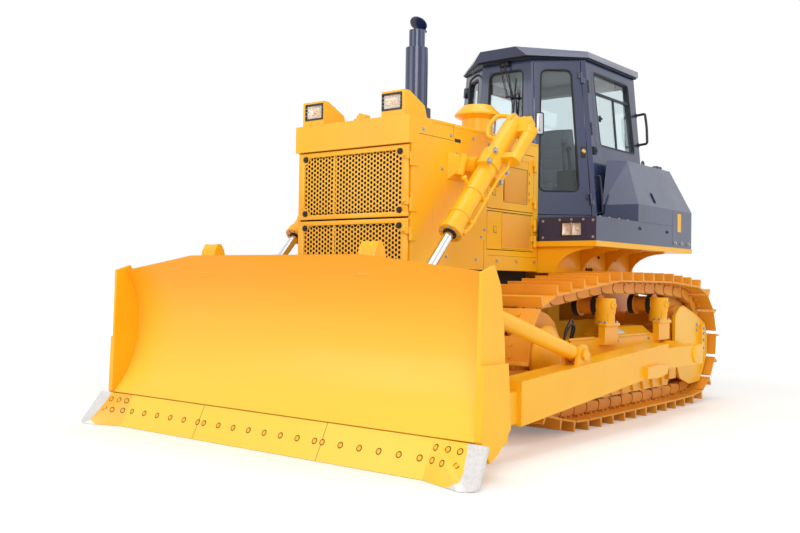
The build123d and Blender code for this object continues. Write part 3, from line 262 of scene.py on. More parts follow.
def door_screen():
    """Perforated sheet in the engine doors: yellow, with its holes drawn in painted shade, coarser than real
    to show.
    """
    tree, shader = finish("door_screen", {"Roughness": 0.5, "Specular IOR Level": 0.3})
    axes = node(tree, "ShaderNodeSeparateXYZ", {"Vector": place_of(tree)}).outputs
    waves = [
        calc(tree, "SINE", calc(tree, "MULTIPLY", axes[name], math.tau / SCREEN_PITCH)) for name in ("X", "Z")
    ]
    # Painted shade: each hole is drawn as a darker orange spot, standing for the shade seen through it
    hole = span(tree, calc(tree, "MULTIPLY", *waves), 0.25, 0.45)
    colour = blend_colour(tree, hole, linear("F9B648"), linear("D98E2E"))
    dress(tree, shader, colour, normal=bumped(tree, hole, -0.1, 0.001))


def shaded_paint():
    """Painted shade in the bottom of a bolt well or between links: a mottled brown that stands for shadow."""
    tree, shader = finish("shaded_paint", {"Roughness": 0.8})
    shade_mottle = mottle(tree, place_of(tree), 0.02, 4.0)
    dress(tree, shader, blend_colour(tree, shade_mottle, linear("5A2C0C"), linear("8A4A14")))


def bare_label():
    """A blank label of white vinyl film: flat, pale and softly glossy, with a little dust."""
    tree, shader = finish("bare_label", {"Roughness": 0.45})
    dust = mottle(tree, place_of(tree), 0.03, 5.0)
    dress(tree, shader, blend_colour(tree, dust, linear("D9D8D2"), linear("EDECE6")))


def brass_lock():
    """Turned brass: yellow metal with a satin face."""
    tree, shader = finish("brass", {"Metallic": 1.0, "Base Color": linear("C8A254")})
    satin = mottle(tree, place_of(tree), 0.006)
    dress(tree, shader, roughness=span(tree, satin, 0.3, 0.7, 0.25, 0.45))


def black_rubber():
    """Moulded EPDM rubber: dull black with a dry grey bloom."""
    tree, shader = finish("black_rubber", {"Sheen Weight": 0.15, "Specular IOR Level": 0.35})
    place = place_of(tree)
    bloom = mottle(tree, place, 0.04, 5.0)
    colour = blend_colour(tree, bloom, linear("0E0E10"), linear("25262A"))
    grain = bumped(tree, mottle(tree, place, 0.006), 0.1, 0.0008)
    dress(tree, shader, colour, span(tree, bloom, 0.3, 0.7, 0.55, 0.75), grain)


def black_plastic():
    """Injection-moulded ABS: charcoal with a fine grained, low-gloss face."""
    tree, shader = finish("black_plastic", {"Specular IOR Level": 0.45})
    place = place_of(tree)
    grain = node(tree, "ShaderNodeTexVoronoi", {"Vector": place, "Scale": 250.0}).outputs["Distance"]
    colour = blend_colour(tree, mottle(tree, place, 0.1), linear("1B1C1F"), linear("2A2B2E"))
    dress(tree, shader, colour, span(tree, grain, 0.0, 1.0, 0.42, 0.6), bumped(tree, grain, 0.15, 0.0006))


def grey_lining():
    """Needle-felt cab lining: pale grey, fuzzy and flat."""
    tree, shader = finish("grey_lining", {"Sheen Weight": 0.4, "Roughness": 0.95})
    felt = mottle(tree, place_of(tree), 0.008, 6.0, 0.8)
    colour = blend_colour(tree, felt, linear("9B9C9F"), linear("C2C3C5"))
    dress(tree, shader, colour, normal=bumped(tree, felt, 0.3, 0.002))


def seat_vinyl():
    """Embossed upholstery vinyl: mid grey, softly creased, with a low waxy shine."""
    tree, shader = finish("seat_vinyl", {"Coat Weight": 0.1, "Coat Roughness": 0.4})
    place = place_of(tree)
    pebble = node(
        tree, "ShaderNodeTexVoronoi", {"Vector": place, "Scale": 160.0}, feature="SMOOTH_F1",
    ).outputs["Distance"]
    colour = blend_colour(tree, mottle(tree, place, 0.15), linear("565C64"), linear("727880"))
    dress(tree, shader, colour, span(tree, pebble, 0.0, 0.8, 0.5, 0.68), bumped(tree, pebble, 0.3, 0.0012))


def finned_core():
    """Radiator core: black-painted copper tubes behind close fins, seen as fine upright lines."""
    tree, shader = finish("finned_core", {"Metallic": 0.4, "Roughness": 0.6})
    fins = node(
        tree, "ShaderNodeTexWave", {"Vector": place_of(tree), "Scale": 12.0}, bands_direction="Y",
    ).outputs["Fac"]
    colour = blend_colour(tree, fins, linear("0A0A0B"), linear("3A3128"))
    dress(tree, shader, colour, normal=bumped(tree, fins, 0.6, 0.004))


def clear_glass(name, tint, roughness):
    """Flat safety glass: clear, faintly tinted, and it lets light through to the cab."""
    tree, shader = finish(name, {
        "Base Color": linear(tint), "Transmission Weight": 1.0, "IOR": 1.45, "Roughness": roughness,
    })
    smear = mottle(tree, place_of(tree), 0.3, 2.0)
    dress(tree, shader, roughness=span(tree, smear, 0.3, 0.7, roughness, roughness + 0.02))
    shadow = node(tree, "ShaderNodeLightPath").outputs["Is Shadow Ray"]
    open_air = node(tree, "ShaderNodeBsdfTransparent", {"Color": linear("E8EEF0")}).outputs["BSDF"]
    both = node(tree, "ShaderNodeMixShader", {0: shadow, 1: shader.outputs["BSDF"], 2: open_air})
    output = next(n for n in tree.nodes if n.type == "OUTPUT_MATERIAL")
    tree.links.new(both.outputs["Shader"], output.inputs["Surface"])


def lamp_reflector():
    """The bowl behind a lamp lens: pale, softly rippled metal that shows no sharp image."""
    tree, shader = finish("lamp_reflector", {"Metallic": 0.35, "Base Color": linear("E2CDBD")})
    ripple = mottle(tree, place_of(tree), 0.02, 2.0)
    dress(tree, shader, None, span(tree, ripple, 0.3, 0.7, 0.3, 0.5), bumped(tree, ripple, 0.3, 0.002))


SLOT_FINISH = {
    "yellow_paint": "yellow_enamel",
    "track_paint": "track_enamel",
    "navy_paint": "navy_enamel",
    "bare_steel": "worn_bit_paint",
    "chrome": "chromed_rod",
    "cab_glass": "cab_glass",
    "lamp_glass": "lamp_glass",
    "seat_vinyl": "seat_vinyl",
    "dark_plastic": "black_plastic",
    "engine_iron": "engine_iron",
    "core_metal": "finned_core",
}
NODE_FINISH = {
    "moldboard": "blade_enamel",
    "cutting_edge": "blade_enamel",
    "exhaust_stack": "navy_enamel",
    "exhaust_flap": "navy_enamel",
    "idlers": "track_enamel",
    "track_rollers": "track_enamel",
    "carrier_rollers": "track_enamel",
}


# Helpers for shapes


SIDES = ((1, "left"), (-1, "right"))
# Ways on the machine
AHEAD, LEFT, UP = Vector((1.0, 0.0, 0.0)), Vector((0.0, 1.0, 0.0)), Vector((0.0, 0.0, 1.0))
# How deep a joint line sits in its plate, and how far it stands out
LINE_SUNK = 0.002
LINE_PROUD = 0.0006


def add_block(bm, low, high, bevel=0.0, segments=2, turn=None):
    """A block between two corners with rounded edges; turn is a matrix that then moves it."""
    low, high = Vector(low), Vector(high)
    place = Matrix.Translation((low + high) / 2) @ Matrix.Diagonal((*(high - low), 1.0))
    made = bmesh.ops.create_cube(bm, size=1.0, matrix=place)["verts"]
    if bevel:
        edges = list({edge for vert in made for edge in vert.link_edges})
        rounded = bmesh.ops.bevel(
            bm, geom=edges, offset=bevel, offset_type="OFFSET", segments=segments, profile=0.5,
            affect="EDGES", material=-1, clamp_overlap=True,
        )
        fresh = {vert for face in rounded["faces"] for vert in face.verts}
        made = list(fresh | {vert for vert in made if vert.is_valid})
    if turn is not None:
        bmesh.ops.transform(bm, matrix=turn, verts=made)


def upright(start, end):
    """The turn and place that lay a Z-long shape from start to end."""
    start, end = Vector(start), Vector(end)
    return Matrix.Translation((start + end) / 2) @ (end - start).to_track_quat("Z", "Y").to_matrix().to_4x4()


def add_rod(bm, start, end, radius, end_radius=None, sides=16):
    """A round or, with few sides, a hexagonal bar from start to end."""
    bmesh.ops.create_cone(
        bm, cap_ends=True, segments=sides, radius1=radius,
        radius2=radius if end_radius is None else end_radius,
        depth=(Vector(end) - Vector(start)).length, matrix=upright(start, end),
    )


def add_bolt(bm, foot, way, across=0.03, washer=True):
    """A hexagon head on its washer, standing on foot along way."""
    foot, way = Vector(foot), Vector(way).normalized()
    rise = across * 0.12
    face, crown = foot + way * (rise + across * 0.5), foot + way * (rise + across * 0.58)
    if washer:
        add_rod(bm, foot - way * rise, foot + way * rise, across * 0.85, sides=14)
    add_rod(bm, foot, face, across * 0.56, sides=6)
    add_rod(bm, face, crown, across * 0.5, across * 0.42, sides=12)


def add_turned(bm, profile, start, way, steps=32):
    """A turned piece: profile rows are distance along way and radius."""
    start, way = Vector(start), Vector(way).normalized()
    side = way.orthogonal().normalized()
    verts = [bm.verts.new(start + way * along + side * radius) for along, radius in profile]
    edges = [bm.edges.new(pair) for pair in zip(verts, verts[1:])]
    bmesh.ops.spin(
        bm, geom=verts + edges, cent=start, axis=way, angle=math.tau, steps=steps, use_merge=True,
        use_duplicate=False,
    )


def add_band(bm, start, way, width, inner, radius, steps):
    """A ring round an axis, with its two outer edges softened by 2 mm."""
    half = width / 2
    add_turned(bm, (
        (-half, inner), (-half, radius - 0.002), (-half + 0.002, radius),
        (half - 0.002, radius), (half, radius - 0.002), (half, inner),
    ), start, way, steps)


def add_prism(bm, low, top):
    """Close two rings of points that face each other into a solid."""
    bm.faces.new(low[::-1])
    bm.faces.new(top)
    for n in range(len(low)):
        m = (n + 1) % len(low)
        bm.faces.new((low[n], low[m], top[m], top[n]))


def add_slab(bm, outline, y0, y1):
    """A slab between two distances from the middle; its outline's points are along and height."""
    add_prism(bm, *([bm.verts.new((x, y, z)) for x, z in outline] for y in (y0, y1)))


def side_plate(bm, y, low, high, proud=LINE_PROUD, bevel=0.0):
    """A thin plate or line let into a side face at y, between two corners of along and height."""
    add_block(bm, (low[0], y - LINE_SUNK, low[1]), (high[0], y + proud, high[1]), bevel)


def add_block_turned(bm, foot, along, out, half, rise):
    """A square nut that stands on foot along out."""
    side = along.cross(out).normalized()
    square = ((-half, -half), (half, -half), (half, half), (-half, half))
    corners = [foot + along * a + side * b for a, b in square]
    low = [bm.verts.new(corner) for corner in corners]
    top = [bm.verts.new(corner + out * rise) for corner in corners]
    add_prism(bm, low, top)


def add_pipe(bm, points, radius, sides=12, bend=4):
    """A pipe or hose through points, with its corners rounded; gives its middle line back."""
    line = [Vector(points[0])]
    for before, corner, after in zip(points, points[1:], points[2:]):
        before, corner, after = Vector(before), Vector(corner), Vector(after)
        cut = min((corner - before).length, (after - corner).length) * 0.42
        first = corner + (before - corner).normalized() * cut
        last = corner + (after - corner).normalized() * cut
        for step in range(bend + 1):
            share = step / bend
            line.append(first.lerp(corner, share).lerp(corner.lerp(last, share), share))
    line.append(Vector(points[-1]))
    rings = []
    side = (line[1] - line[0]).orthogonal().normalized()
    for n, place in enumerate(line):
        way = (line[min(n + 1, len(line) - 1)] - line[max(n - 1, 0)]).normalized()
        side = (side - way * side.dot(way)).normalized()
        other = way.cross(side)
        turns = [k * math.tau / sides for k in range(sides)]
        rings.append([
            bm.verts.new(place + (side * math.cos(turn) + other * math.sin(turn)) * radius) for turn in turns
        ])
    for ring, following in zip(rings, rings[1:]):
        for k in range(sides):
            bm.faces.new((ring[k], ring[(k + 1) % sides], following[(k + 1) % sides], following[k]))
    bm.faces.new(rings[0][::-1])
    bm.faces.new(rings[-1])
    return line


def settle(bm, name, paint, body, smooth=40.0):
    """Close a bmesh into a finished piece that rides on a body."""
    bmesh.ops.remove_doubles(bm, verts=bm.verts, dist=0.00005)
    bmesh.ops.recalc_face_normals(bm, faces=bm.faces)
    mesh = bpy.data.meshes.new(name)
    bm.to_mesh(mesh)
    bm.free()
    mesh.shade_smooth()
    mesh.set_sharp_from_angle(angle=math.radians(smooth))
    mesh.materials.append(FINISHES[paint])
    piece = bpy.data.objects.new(name, mesh)
    bpy.context.scene.collection.objects.link(piece)
    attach(piece, body)
    return piece


def flip(bm, side):
    """Turn a shape made for the left into the right one where side is -1."""
    if side < 0:
        bmesh.ops.scale(bm, vec=(1, -1, 1), verts=bm.verts)


def mirror_copy(bm):
    """Add the same shapes on the machine's other side."""
    everything = bm.verts[:] + bm.edges[:] + bm.faces[:]
    bmesh.ops.mirror(bm, geom=everything, matrix=Matrix(), merge_dist=-1.0, axis="Y")


# Settings that a user would change


class BulldozerSettings(bpy.types.PropertyGroup):
    """Colours and fitting sizes of the bulldozer."""

    yellow: bpy.props.FloatVectorProperty(
        name="Body yellow", description="Main paint on the blade, hood and frame", subtype="COLOR", size=3,
        default=linear("FFC019")[:3],
    )
    track_yellow: bpy.props.FloatVectorProperty(
        name="Track yellow", description="Paint on the tracks and rollers", subtype="COLOR", size=3,
        default=linear("F3A92B")[:3],
    )
    navy: bpy.props.FloatVectorProperty(
        name="Cab blue", description="Paint on the cab and tanks", subtype="COLOR", size=3,
        default=linear("22305A")[:3],
    )
    edge_bolt: bpy.props.FloatProperty(
        name="Edge bolt", description="Head diameter of the plough bolts in the cutting edge", unit="LENGTH",
        default=0.046,
    )


# Helpers for places on the machine


def machine(along, across, rise):
    """A point in millimetres as metres."""
    return Vector((along, across, rise)) / 1000


def surface(node_name, start, way):
    """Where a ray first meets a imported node, and the face's normal there."""
    thing = frame["nodes"][node_name]
    into = thing.matrix_world.inverted()
    origin = into @ Vector(start)
    heading = (into.to_3x3() @ Vector(way)).normalized()
    hit, place, normal, _ = thing.ray_cast(origin, heading)
    if not hit:
        raise RuntimeError("no surface on %s at %s" % (node_name, tuple(start)))
    return thing.matrix_world @ place, (thing.matrix_world.to_3x3() @ normal).normalized()


# Blade


EDGE_FRONT_LOW = machine(2629, 0, 3)
EDGE_FRONT_TOP = machine(2516, 0, 230)
EDGE_ROW_Z = 0.115
MIDDLE_BOLTS = (0.077, 0.231, 0.385, 0.539)
OUTER_BOLT_FIRST = 0.606
OUTER_BOLT_STEP = 0.155
OUTER_BOLT_COUNT = 6
EDGE_SEAM_Y = 0.6
# Height and distance from the middle of each end bit's bolts
BIT_BOLTS = (
    (0.185, 1.480), (0.185, 1.570), (0.185, 1.660), (0.115, 1.480), (0.115, 1.572), (0.115, 1.672),
)
# Along and height of the thick heads between the rear lugs, and the gap that they fill
LUG_HEAD = (
    (2.396, 1.180), (2.382, 1.240), (2.361, 1.345), (2.345, 1.378), (2.330, 1.394), (2.302, 1.394),
    (2.287, 1.378), (2.274, 1.345), (2.250, 1.280), (2.300, 1.200),
)
LUG_GAP_Y = (0.7265, 0.8235)
RAY_START_X = 3.5
# Along, height, distance from the middle and radius of each pin's end, at the rods' lugs and the braces
BLADE_PINS = (
    (2.068, 0.832, 0.873, 0.036), (2.165, 1.005, 1.5065, 0.034), (0.785, 0.627, 1.5225, 0.04),
)


def add_plough_bolt(bm, foot, way, across):
    """A plough bolt: a low domed head in its countersink."""
    radius = across / 2
    add_turned(bm, (
        (-0.001, radius * 0.66), (0.0014, radius * 0.66), (0.0026, radius * 0.56), (0.0030, 0.0),
    ), foot, way, 18)


def add_bolt_well(bm, foot, way, across):
    """The shaded ring of the countersink round a plough bolt."""
    radius = across / 2
    add_turned(bm, (
        (-0.001, radius * 0.6), (0.0006, radius * 0.6), (0.0006, radius * 0.94), (-0.001, radius * 0.98),
    ), foot, way, 20)


class BULLDOZER_OT_blade(bpy.types.Operator):
    """Plough bolts, wells and joint lines of the cutting edge, heads of the rear lugs, and pin ends"""

    bl_idname = "bulldozer.blade"
    bl_label = "Blade fittings"

    def execute(self, context):
        across = context.scene.bulldozer.edge_bolt
        bolts, wells = bmesh.new(), bmesh.new()
        edge_ys = list(MIDDLE_BOLTS)
        edge_ys += [OUTER_BOLT_FIRST + OUTER_BOLT_STEP * n for n in range(OUTER_BOLT_COUNT)]
        spots = [("cutting_edge", y, EDGE_ROW_Z) for y in edge_ys]
        spots += [("end_bits", y, z) for z, y in BIT_BOLTS]
        for side in (-1, 1):
            for plate, y, z in spots:
                place, normal = surface(plate, (RAY_START_X, side * y, z), -AHEAD)
                add_plough_bolt(bolts, place, normal, across)
                add_bolt_well(wells, place, normal, across)
        settle(bolts, "plough_bolts", "yellow_enamel", "blade", 30)
        heads = bmesh.new()
        add_slab(heads, LUG_HEAD, *LUG_GAP_Y)
        mirror_copy(heads)
        settle(heads, "lug_heads", "yellow_enamel", "blade", 40)
        settle(wells, "plough_bolt_wells", "shaded_paint", "blade", 30)
        seams = bmesh.new()
        up = (EDGE_FRONT_TOP - EDGE_FRONT_LOW).normalized()
        out = Vector((up.z, 0, -up.x))
        for side in (-1, 1):
            shift = Vector((0, side * EDGE_SEAM_Y, 0))
            self.seam(seams, EDGE_FRONT_LOW + shift, EDGE_FRONT_TOP + shift, out, 0.0016)
        settle(seams, "edge_seams", "black_rubber", "blade")
        pins = bmesh.new()
        for side in (-1, 1):
            for x, z, y, radius in BLADE_PINS:
                y *= side
                profile = ((-0.004, radius), (0.003, radius), (0.006, radius - 0.004), (0.006, 0.0))
                add_turned(pins, profile, (x, y, z), (0, side, 0), 28)
                add_block(pins, (x - 0.05, y - 0.004, z - 0.012), (x + 0.05, y + 0.008, z + 0.012), 0.002)
        settle(pins, "blade_pins", "yellow_enamel", "blade", 30)
        return {"FINISHED"}

    def seam(self, bm, low, top, out, half):
        """A thin dark line that stands just proud of a plate."""
        aside = Vector((0, half, 0))
        corners = (low - aside, low + aside, top + aside, top - aside)
        back = [bm.verts.new(corner - out * 0.001) for corner in corners]
        front = [bm.verts.new(corner + out * 0.0005) for corner in corners]
        add_prism(bm, back, front)


# Lift cylinders


TRUNNION = machine(945, 775, 2031)
ROD_PIN = machine(2068, 775, 832)
LIFT_WAY = (ROD_PIN - TRUNNION).normalized()
LIFT_RISE = Vector((-LIFT_WAY.z, 0.0, LIFT_WAY.x))
# Place along the barrel, width and radius of each clamp
BARREL_CLAMPS = ((0.318, 0.034, 0.0845), (0.560, 0.026, 0.0835))
GLAND_SCREWS = 8
# Along and rise of the cast rib on the barrel's head
HEAD_RIB = (
    (-0.455, 0.079), (-0.500, 0.083), (-0.556, 0.060), (-0.575, 0.0), (-0.556, -0.060), (-0.500, -0.083),
    (-0.455, -0.079),
)
HEAD_RIB_YS = (0.755, 0.795)
# Along, rise, y, radius and axis of each boss on the head
HEAD_BOSSES = (
    (-0.530, 0.0, 0.858, 0.032, LEFT), (-0.440, -0.04, 0.938, 0.054, LIFT_WAY),
    (-0.395, -0.04, 0.938, 0.054, LIFT_WAY),
)


def on_lift(along, rise, y):
    """A point beside the left lift cylinder, from its trunnion, in metres."""
    return TRUNNION + LIFT_WAY * along + LIFT_RISE * rise + Vector((0, y - TRUNNION.y, 0))


class BULLDOZER_OT_lift(bpy.types.Operator):
    """Pipes, clamps, glands and cap bolts of the two lift cylinders"""

    bl_idname = "bulldozer.lift"
    bl_label = "Lift cylinder fittings"

    def execute(self, context):
        for side, name in SIDES:
            body = "lift_barrel_" + name
            for maker, piece, paint, slot in (
                (self.pipes, "lift_pipes_", "yellow_enamel", "yellow_paint"),
                (self.clamps, "lift_clamps_", "yellow_enamel", "yellow_paint"),
                (self.cap_bolts, "lift_bolts_", "zinc_plate", "bare_steel"),
                (self.wiper, "rod_wiper_", "black_rubber", "dark_plastic"),
            ):
                bm = bmesh.new()
                maker(bm)
                flip(bm, side)
                settle(bm, piece + name, paint, body, 35)
        return {"FINISHED"}

    def pipes(self, bm):
        """The looped arm over the head, and the small pipe down to the rod end."""
        add_pipe(bm, (
            on_lift(-0.500, 0.02, 0.775), on_lift(-0.552, 0.050, 0.712), on_lift(-0.520, 0.075, 0.640),
            on_lift(-0.400, 0.070, 0.612), on_lift(-0.300, 0.045, 0.640), on_lift(-0.285, 0.02, 0.712),
        ), 0.019, 14, 5)
        flange = ((0.0, 0.03), (0.03, 0.03), (0.034, 0.024), (0.034, 0.0))
        add_turned(bm, flange, on_lift(-0.285, 0.02, 0.735), -LEFT, 20)
        add_pipe(bm, (
            on_lift(-0.08, -0.040, 0.905), on_lift(-0.02, -0.055, 0.905), on_lift(0.10, -0.070, 0.858),
            on_lift(0.60, -0.070, 0.858), on_lift(0.655, -0.066, 0.853), on_lift(0.672, -0.060, 0.838),
        ), 0.0115, 12, 5)
        nut = ((0.0, 0.022), (0.022, 0.022), (0.026, 0.016), (0.026, 0.0))
        add_turned(bm, nut, on_lift(0.672, -0.060, 0.828), LEFT, 6)

    def clamps(self, bm):
        """Bands round the barrel, the stub of the hose clip, and the cast rib and bosses of the head."""
        centre = TRUNNION.y
        for along, width, radius in BARREL_CLAMPS:
            add_band(bm, on_lift(along, 0, centre), LIFT_WAY, width, 0.076, radius, 40)
        for along, _, _ in BARREL_CLAMPS:
            screw = on_lift(along, -0.060, centre + 0.045), on_lift(along, -0.078, centre + 0.098)
            add_rod(bm, *screw, 0.017, sides=16)
        # Stub for the hose clip on the barrel's upper side
        foot, head = on_lift(0.300, 0.070, centre - 0.02), on_lift(0.300, 0.135, centre - 0.02)
        add_rod(bm, foot, head, 0.015, sides=16)
        add_turned(bm, ((0.0, 0.02), (0.012, 0.02), (0.016, 0.014), (0.016, 0.0)), head, LIFT_RISE, 18)
        low, top = ([bm.verts.new(on_lift(along, rise, y)) for along, rise in HEAD_RIB] for y in HEAD_RIB_YS)
        add_prism(bm, low, top)
        for along, rise, y, radius, way in HEAD_BOSSES:
            add_band(bm, on_lift(along, rise, y), way, 0.022, 0.0, radius, 32)

    def wiper(self, bm):
        """The rubber lip round the rod at the gland."""
        add_turned(bm, (
            (0.0, 0.0365), (0.0, 0.052), (0.006, 0.052), (0.010, 0.042), (0.006, 0.0365),
        ), on_lift(0.7425, 0, TRUNNION.y), LIFT_WAY, 32)

    def cap_bolts(self, bm):
        """Four large screws in the trunnion collar, and the gland's ring of screws."""
        for along in (-0.060, 0.060):
            for rise in (0.092, -0.126):
                add_bolt(bm, on_lift(along, rise, 0.840), LEFT, 0.032)
        for n in range(GLAND_SCREWS):
            angle = math.tau * (n + 0.5) / GLAND_SCREWS
            side = Vector((0, math.cos(angle), 0)) + LIFT_RISE * math.sin(angle)
            add_bolt(bm, on_lift(0.742, 0, TRUNNION.y) + side * 0.070, LIFT_WAY, 0.015, washer=False)


# Hood and grilles


HOOD_Y = 0.566
# Along and height of each screw in the hood's side
HOOD_SCREWS = (
    (1.508, 2.251), (1.161, 2.249), (0.865, 2.262), (0.633, 2.247), (1.083, 2.116), (1.270, 1.985),
    (0.687, 1.560), (0.732, 1.500), (0.502, 1.319), (0.202, 1.320), (-0.091, 1.321), (1.200, 1.560),
    (1.200, 1.330), (0.800, 1.320),
)
# Low and high corner, along and height, of each joint line in the hood's side
HOOD_LINES = (
    ((1.1235, 2.236), (1.1265, 2.338)), ((1.131, 2.2115), (1.560, 2.2145)), ((1.032, 2.205), (1.112, 2.232)),
    ((-0.143, 1.3585), (0.640, 1.3605)), ((0.690, 1.245), (0.693, 1.480)),
)
DOOR_LATCHES = {"upper": (0.552, 1.869), "lower": (0.533, 1.568)}
DOOR_SLOTS = {"upper": (2.067, 1.991, 1.900, 1.844), "lower": (1.670, 1.600, 1.530, 1.460)}
# Low and high corner, along and height, of each door's perforated panel
DOOR_SCREENS = {"upper": ((0.048, 1.815), (0.395, 2.085)), "lower": ((-0.012, 1.432), (0.420, 1.696))}
GRILLE_FACE_X = 1.654
GRILLE_BACK_X = 1.640
HOLE_RADIUS = 0.0126
HOLE_PITCH = 0.0350
HOLE_SIDES = 12
# Name, low and high edge, and the perforated field's low and high edge
GRILLES = (("upper", 1.607, 2.126, 1.643, 2.090), ("lower", 0.960, 1.595, 0.996, 1.560))
GRILLE_KNUCKLES = {"upper": (1.690, 2.020), "lower": (1.060, 1.480)}
# Outward and upward from the field's corner, the outline of the tab in it
GRILLE_TAB = ((0.004, -0.004), (-0.062, -0.004), (-0.040, 0.036), (-0.016, 0.052), (0.004, 0.056))
GRILLE_HALF = 0.548
FIELD_HALF = 0.486
BUFFER_Y = 0.470


class BULLDOZER_OT_hood(bpy.types.Operator):
    """Screws, latches, slots and joint lines on the hood and its side doors"""

    bl_idname = "bulldozer.hood"
    bl_label = "Hood fittings"

    def execute(self, context):
        for maker, piece, paint, slot, smooth in (
            (self.hood_screws, "hood_screws", "zinc_plate", "bare_steel", 35),
            (self.joint_lines, "hood_joint_lines", "black_rubber", "dark_plastic", 40),
            (self.trim, "hood_trim", "yellow_enamel", "yellow_paint", 35),
        ):
            bm = bmesh.new()
            maker(bm)
            settle(bm, piece, paint, "chassis", smooth)
        for level in DOOR_LATCHES:
            for side, name in SIDES:
                for maker, piece, paint, slot, smooth in (
                    (self.latch, "door_latch_", "yellow_enamel", "yellow_paint", 35),
                    (self.screen, "door_screen_", "door_screen", "yellow_paint", 40),
                    (self.slots, "door_slots_", "black_rubber", "dark_plastic", 40),
                ):
                    bm = bmesh.new()
                    maker(bm, level)
                    flip(bm, side)
                    door = "%s_%s" % (level, name)
                    settle(bm, piece + door, paint, "engine_door_" + door, smooth)
        return {"FINISHED"}

    def hood_screws(self, bm):
        """Screws in both sides."""
        for x, z in HOOD_SCREWS:
            add_bolt(bm, (x, HOOD_Y, z), LEFT, 0.017)
        mirror_copy(bm)

    def joint_lines(self, bm):
        """Joints between the hood's sheets."""
        for low, high in HOOD_LINES:
            side_plate(bm, HOOD_Y, low, high)
        mirror_copy(bm)

    def trim(self, bm):
        """The cap strips along the top edges, and the radiator's filler cap."""
        for x0, x1 in ((-0.14, 1.12), (1.13, 1.378)):
            add_block(bm, (x0, HOOD_Y - 0.004, 2.318), (x1, HOOD_Y + 0.003, 2.3405), 0.002)
        mirror_copy(bm)
        add_turned(bm, (
            (0.0, 0.075), (0.030, 0.075), (0.034, 0.070), (0.034, 0.052), (0.058, 0.052), (0.063, 0.046),
            (0.063, 0.0),
        ), (1.520, 0, 2.337), UP, 36)
        add_block(bm, (1.470, -0.010, 2.398), (1.570, 0.010, 2.412), 0.004)

    def latch(self, bm, level):
        """A square plate with a turned ring and its key bar."""
        x, z = DOOR_LATCHES[level]
        proud = 0.0025
        side_plate(bm, HOOD_Y, (x - 0.021, z - 0.021), (x + 0.021, z + 0.021), proud, 0.0012)
        add_turned(bm, (
            (0.0, 0.013), (0.004, 0.013), (0.005, 0.011), (0.003, 0.010), (0.003, 0.0),
        ), (x, HOOD_Y + proud, z), LEFT, 20)
        add_block(bm, (x - 0.011, HOOD_Y + 0.004, z - 0.0025), (x + 0.011, HOOD_Y + 0.008, z + 0.0025), 0.001)

    def screen(self, bm, level):
        """The perforated panel."""
        side_plate(bm, HOOD_Y, *DOOR_SCREENS[level], 0.0012, 0.0004)

    def slots(self, bm, level):
        """Dark outlines of the panel and the latch, and the slots at the door's rear edge drawn as dark
        plates in painted shade.
        """
        (x0, z0), (x1, z1) = DOOR_SCREENS[level]
        self.frame_lines(bm, x0 - 0.012, x1 + 0.012, z0 - 0.012, z1 + 0.012, 0.0012)
        x, z = DOOR_LATCHES[level]
        self.frame_lines(bm, x - 0.024, x + 0.024, z - 0.024, z + 0.024, 0.0016)
        # Each slot is a dark plate of painted shade, standing for the opening
        for z in DOOR_SLOTS[level]:
            side_plate(bm, HOOD_Y, (-0.001, z - 0.012), (0.008, z + 0.012), 0.0008, 0.0004)

    def frame_lines(self, bm, x0, x1, z0, z1, half):
        """A thin dark outline round an inset panel or a latch."""
        for z in (z0, z1):
            side_plate(bm, HOOD_Y, (x0 - half, z - half), (x1 + half, z + half))
        for x in (x0, x1):
            side_plate(bm, HOOD_Y, (x - half, z0 + half), (x + half, z1 - half))


